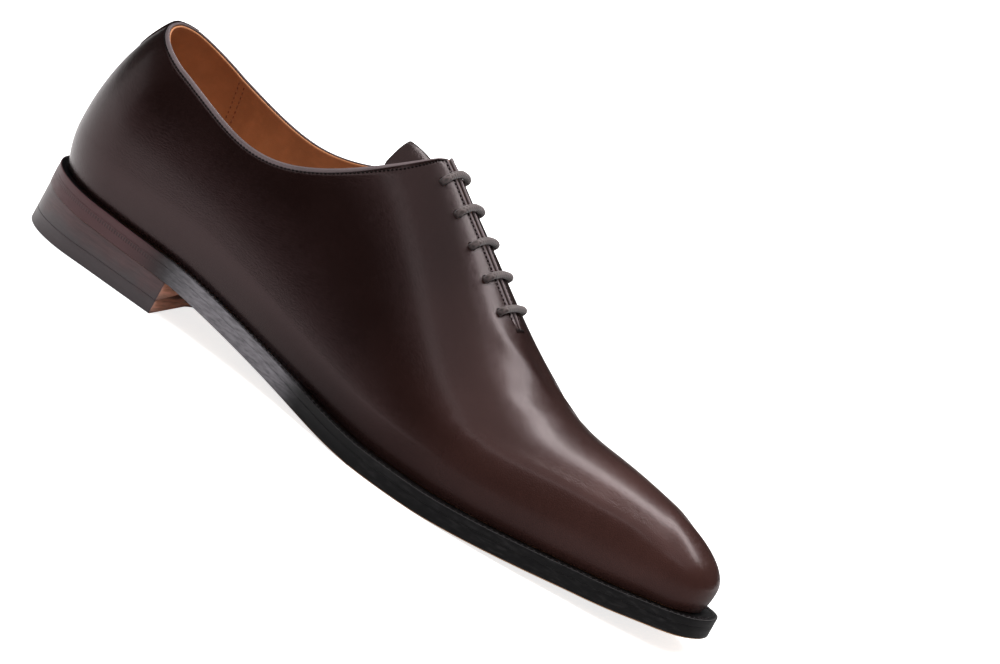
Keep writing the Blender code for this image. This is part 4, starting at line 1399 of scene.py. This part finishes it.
class SHOE_OT_sole(bpy.types.Operator):
    """Make the outsole, the welt with its wheeled top, and the sock"""
    bl_idname = "shoe.sole"
    bl_label = "Sole"

    def execute(self, context):
        self.make_outsole()
        self.make_welt()
        material = lining_material("sock_leather", shaded(looks().lining_colour, 0.9))
        sock = plate("sock", INSOLE, lambda x: arch(x) + OUTSOLE + FIT, lining_edge,
                     (0.0003, 0.0009, 3, 0.0001), 300, material, "sock_leather")
        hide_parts("insole")
        self.sew_welt()
        return {"FINISHED"}

    def make_outsole(self):
        def flush_edge(loop, inset):
            forward = np.clip((section_line(loop)[1] - BREAST + 0.003) / 0.006, 0, 1)
            return sole_edge(loop, inset * forward)

        outsole = plate("dressed_outsole", OUTSOLE, arch, flush_edge, (0.0005, 0.0001, 3, 0.0), 420,
                        edge_material("outsole_edge", looks(), 0.36, True), "sole_leather")
        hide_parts("outsole")

    def make_welt(self):
        def place(a, b):
            loop = a * FULL_LOOP
            row = np.round(b * (len(WELT_OUT) - 1))
            outer = np.interp(row, range(len(WELT_OUT)), WELT_OUT)
            rise = np.interp(row, range(len(WELT_RISE)), WELT_RISE)
            edge = sole_edge(loop, np.full(np.shape(loop), 0.00004))
            root = lining_edge(loop, np.zeros(np.shape(loop)))
            x = root[..., 0] + (edge[..., 0] - root[..., 0]) * outer
            y = root[..., 1] + (edge[..., 1] - root[..., 1]) * outer
            marks = WELT_MARK_DEPTH * (row == WELT_MARKED_ROW) * np.cos(loop / WELT_MARK_PITCH * math.tau)
            return in_part(points(x, y, arch(x) + WELT_LOW + (WELT + 0.0002) * rise + marks))

        mesh = grid_mesh(2400, len(WELT_OUT) - 1, place)
        weld(mesh)
        material = edge_material("welt_edge", looks(), 0.34, False)
        welt = add_piece("wheeled_welt", mesh, material, "welt_leather")
        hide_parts("welt")

    def sew_welt(self):
        """The welt's stitches, from the heel's breast round the toe and back to it."""
        start = station(WELT_STITCHED_FROM)
        edge = sole_edge(np.linspace(start, FULL_LOOP - start, 1500), np.full(1500, WELT_STITCH_INSET))
        path = in_part(points(edge[..., 0], edge[..., 1], arch(edge[..., 0]) + WELT_LOW + WELT + 0.00005))
        number = np.arange(len(path))
        at = even_places(number, path, WELT_STITCH_PITCH)

        def along_path(places):
            return np.stack([np.interp(places, number, path[:, axis]) for axis in range(3)], axis=-1)

        beads("welt_stitches", along_path(at), along_path(at + 1) - along_path(at - 1), [(0, 0, 1)] * len(at),
              (WELT_STITCH_PITCH * 0.72, 0.0007, 0.0005),
              thread_material("welt_thread", (0.030, 0.026, 0.027)), "welt_leather")


class SHOE_OT_heel(bpy.types.Operator):
    """Make the heel's lifts, its rubber top piece and its hollowed breast"""
    bl_idname = "shoe.heel"
    bl_label = "Heel"

    def execute(self, context):
        end = station(BREAST)
        span = (-end, end)

        def hollow(loop):
            s = np.abs(np.where(loop > HALF_LOOP, loop - FULL_LOOP, loop))
            return BREAST_HOLLOW * np.clip((s - HEEL_TURN) / (end - HEEL_TURN), 0, 1)

        def low_at(x):
            return np.full(np.shape(x), TOP_PIECE + 0.00006)

        def high_at(x):
            return arch(x) - 0.00004

        material = heel_material("burnished_lifts", looks())
        flats = (0.0, 0.2, 0.4, 0.6, 0.8, 0.93)
        stack = plate("heel_lift_1", LIFT, low_at, sole_edge, (0.0001, 0.0001, 3, 0.0002), 240, material,
                      "heel_leather", span, hollow, flats, high_at)
        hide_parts("heel_stack")
        top = plate("heel_top_piece", TOP_PIECE, np.zeros_like, sole_edge, (0.0004, 0.0001, 3, 0.0002), 240,
                    material, "top_piece_rubber", span, hollow, flats)
        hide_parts("top_piece")
        return {"FINISHED"}


# The camera stands where the photograph was taken from, turned to its roll
CAMERA = {
    "azimuth": math.radians(23.0),
    "elevation": math.radians(13.2),
    "roll": math.radians(28.9),
    "distance": 2.5,
    "scale": 2.766,
    "aim": Vector((0.116, 0.0, 0.0373)),
    "aim_px": (399.4, 337.4),
}
PHOTO_SIZE = (1000.0, 664.0)
SENSOR = 36.0
# The floor: white paper, its glow for the camera, and what the leather mirrors of it, flagged, lit and far
PAPER = (0.80, 0.80, 0.80)
PAPER_GLOW = (0.78, 0.78, 0.78)
FLAGGED_PAPER = (0.02, 0.02, 0.02)
LIT_PAPER = (0.66, 0.64, 0.64)
FAR_GLOW = (0.65, 0.65, 0.65)
# The room: what the leather mirrors of it, and what it adds to the soft light
DARK_ROOM = (0.03, 0.03, 0.031)
ROOM_LIGHT = (0.40, 0.40, 0.40)
BLACK = (0.0, 0.0, 0.0)
# Soft boxes: where each hangs, what it points at, its size, and how bright its face is
LIGHT_COLUMNS = ("name", "place", "target", "width", "height", "radiance", "shines", "lights")
LIGHTS = (
    ("fill", (0.12, 0.05, 1.30), (0.12, 0.05, 0.0), 2.2, 2.2, 2.6, False, True),
    ("overhead", (0.05, -0.14, 1.15), (0.05, -0.14, 0.0), 1.8, 1.0, 0.50, True, True),
    ("front_strip", (0.05, -0.72, 1.12), (0.10, -0.04, 0.05), 1.8, 0.22, 1.3, True, True),
    ("back", (0.15, 0.72, 1.00), (0.18, 0.0, 0.04), 0.9, 0.36, 5.2, True, True),
    ("heel_side", (-0.77, -0.31, 0.14), (-0.01, -0.03, 0.05), 0.66, 0.34, 0.56, True, True),
)


class SHOE_OT_stage(bpy.types.Operator):
    """Set the floor, the soft lights and the camera"""
    bl_idname = "shoe.stage"
    bl_label = "Stage"

    def execute(self, context):
        mesh = bmesh.new()
        bmesh.ops.create_grid(mesh, x_segments=1, y_segments=1, size=14.0)
        data = bpy.data.meshes.new("floor")
        mesh.to_mesh(data)
        mesh.free()
        floor = bpy.data.objects.new("floor", data)
        context.scene.collection.objects.link(floor)
        data.materials.append(self.floor_material())
        self.light_world(context)
        context.scene.view_settings.view_transform = "Standard"
        for row in LIGHTS:
            self.add_light(**dict(zip(LIGHT_COLUMNS, row)))
        self.add_camera(context)
        return {"FINISHED"}

    def floor_material(self):
        """White paper: bright to the eye, dimmer in the leather's reflections, as with flags in front."""
        material, tree, shader = new_material("pale_floor", PAPER, 0.5)
        path = add_node(tree, "ShaderNodeLightPath")
        place = separate(tree, object_place(tree))
        away = arithmetic(tree, "ABSOLUTE", place["Y"], 0.0)
        side = arithmetic(tree, "MAXIMUM", remap(tree, place["X"], 0.02, 0.14, 1.0, 0.2, smooth=True),
                          remap(tree, place["Y"], 0.10, 0.30, 0.0, 1.0))
        lit = times(tree, remap(tree, away, 0.10, 1.20, 1.0, 0.0), side)
        mirrored = mix_colour(tree, lit, FLAGGED_PAPER, LIT_PAPER)
        base = mix_colour(tree, path.outputs["Is Glossy Ray"], PAPER, mirrored)
        tree.links.new(base, shader.inputs["Base Color"])
        front = times(tree, remap(tree, place["Y"], -0.60, -0.12, 1.0, 0.0),
                      remap(tree, place["X"], -0.10, 0.06, 1.0, 0.0, smooth=True))
        far = times(tree, front, path.outputs["Is Glossy Ray"])
        glow = mix_colour(tree, far, BLACK, FAR_GLOW)
        glow = mix_colour(tree, path.outputs["Is Camera Ray"], glow, PAPER_GLOW)
        tree.links.new(glow, shader.inputs["Emission Color"])
        shader.inputs["Emission Strength"].default_value = 1.0
        return material

    def light_world(self, context):
        """A dim room that the camera sees as white."""
        world = context.scene.world or bpy.data.worlds.new("studio")
        context.scene.world = world
        world.use_nodes = True
        tree = world.node_tree
        tree.nodes.clear()
        path = add_node(tree, "ShaderNodeLightPath")
        dim = add_node(tree, "ShaderNodeBackground")
        around = mix_colour(tree, path.outputs["Is Diffuse Ray"], DARK_ROOM, ROOM_LIGHT)
        tree.links.new(around, dim.inputs["Color"])
        white = add_node(tree, "ShaderNodeBackground")
        white.inputs["Color"].default_value = (1.0, 1.0, 1.0, 1.0)
        blend = add_node(tree, "ShaderNodeMixShader")
        tree.links.new(path.outputs["Is Camera Ray"], blend.inputs["Fac"])
        tree.links.new(dim.outputs["Background"], blend.inputs[1])
        tree.links.new(white.outputs["Background"], blend.inputs[2])
        out = add_node(tree, "ShaderNodeOutputWorld")
        tree.links.new(blend.outputs["Shader"], out.inputs["Surface"])

    def add_light(self, name, place, target, width, height, radiance, shines, lights):
        data = bpy.data.lights.new(name, "AREA")
        data.shape = "RECTANGLE"
        data.size = width
        data.size_y = height
        data.energy = radiance * math.pi * width * height
        light = bpy.data.objects.new(name, data)
        bpy.context.scene.collection.objects.link(light)
        light.visible_camera = False
        light.visible_glossy = shines
        light.visible_diffuse = lights
        light.location = place
        light.rotation_euler = (Vector(target) - Vector(place)).to_track_quat("-Z", "Y").to_euler()

    def add_camera(self, context):
        azimuth, elevation, roll = CAMERA["azimuth"], CAMERA["elevation"], CAMERA["roll"]
        across = math.cos(elevation)
        back = Vector((math.sin(azimuth) * across, -math.cos(azimuth) * across, math.sin(elevation)))
        level = Vector((math.cos(azimuth), math.sin(azimuth), 0.0))
        upright = back.cross(level)
        right = math.cos(roll) * level + math.sin(roll) * upright
        up = -math.sin(roll) * level + math.cos(roll) * upright
        data = bpy.data.cameras.new("camera")
        camera = bpy.data.objects.new("camera", data)
        context.scene.collection.objects.link(camera)
        turn = Matrix((right, up, back)).transposed().to_4x4()
        turn.translation = CAMERA["aim"] + back * CAMERA["distance"]
        camera.matrix_world = turn
        focal_px = CAMERA["scale"] * CAMERA["distance"] * 1000.0
        data.sensor_width = SENSOR
        data.lens = focal_px / PHOTO_SIZE[0] * SENSOR
        data.shift_x = (PHOTO_SIZE[0] / 2 - CAMERA["aim_px"][0]) / PHOTO_SIZE[0]
        data.shift_y = (CAMERA["aim_px"][1] - PHOTO_SIZE[1] / 2) / PHOTO_SIZE[0]
        data.clip_start = 0.05
        data.clip_end = 60.0
        context.scene.camera = camera


class SHOE_PT_panel(bpy.types.Panel):
    """Lists the shoe's pieces"""
    bl_label = "Shoe"
    bl_idname = "SHOE_PT_panel"
    bl_space_type = "VIEW_3D"
    bl_region_type = "UI"
    bl_category = "Shoe"

    def draw(self, context):
        for operator in OPERATORS:
            self.layout.operator(operator.bl_idname)
        for group in (context.scene.shoe_looks, context.scene.shoe_sizes):
            for name in group.bl_rna.properties.keys():
                if name not in ("rna_type", "name"):
                    self.layout.prop(group, name)


OPERATORS = (SHOE_OT_upper, SHOE_OT_lining, SHOE_OT_stitches, SHOE_OT_tongue, SHOE_OT_lace, SHOE_OT_back_tab,
             SHOE_OT_sole, SHOE_OT_heel, SHOE_OT_stage)
CLASSES = (ShoeLooks, ShoeSizes) + OPERATORS + (SHOE_PT_panel,)


def register():
    for item in CLASSES:
        bpy.utils.register_class(item)
    bpy.types.Scene.shoe_looks = PointerProperty(type=ShoeLooks)
    bpy.types.Scene.shoe_sizes = PointerProperty(type=ShoeSizes)


def unregister():
    del bpy.types.Scene.shoe_sizes
    del bpy.types.Scene.shoe_looks
    for item in reversed(CLASSES):
        bpy.utils.unregister_class(item)


def main():
    register()
    bpy.ops.shoe.upper()
    bpy.ops.shoe.lining()
    bpy.ops.shoe.stitches()
    bpy.ops.shoe.tongue()
    bpy.ops.shoe.lace()
    bpy.ops.shoe.back_tab()
    bpy.ops.shoe.sole()
    bpy.ops.shoe.heel()
    bpy.ops.shoe.stage()


if __name__ == "__main__":
    main()
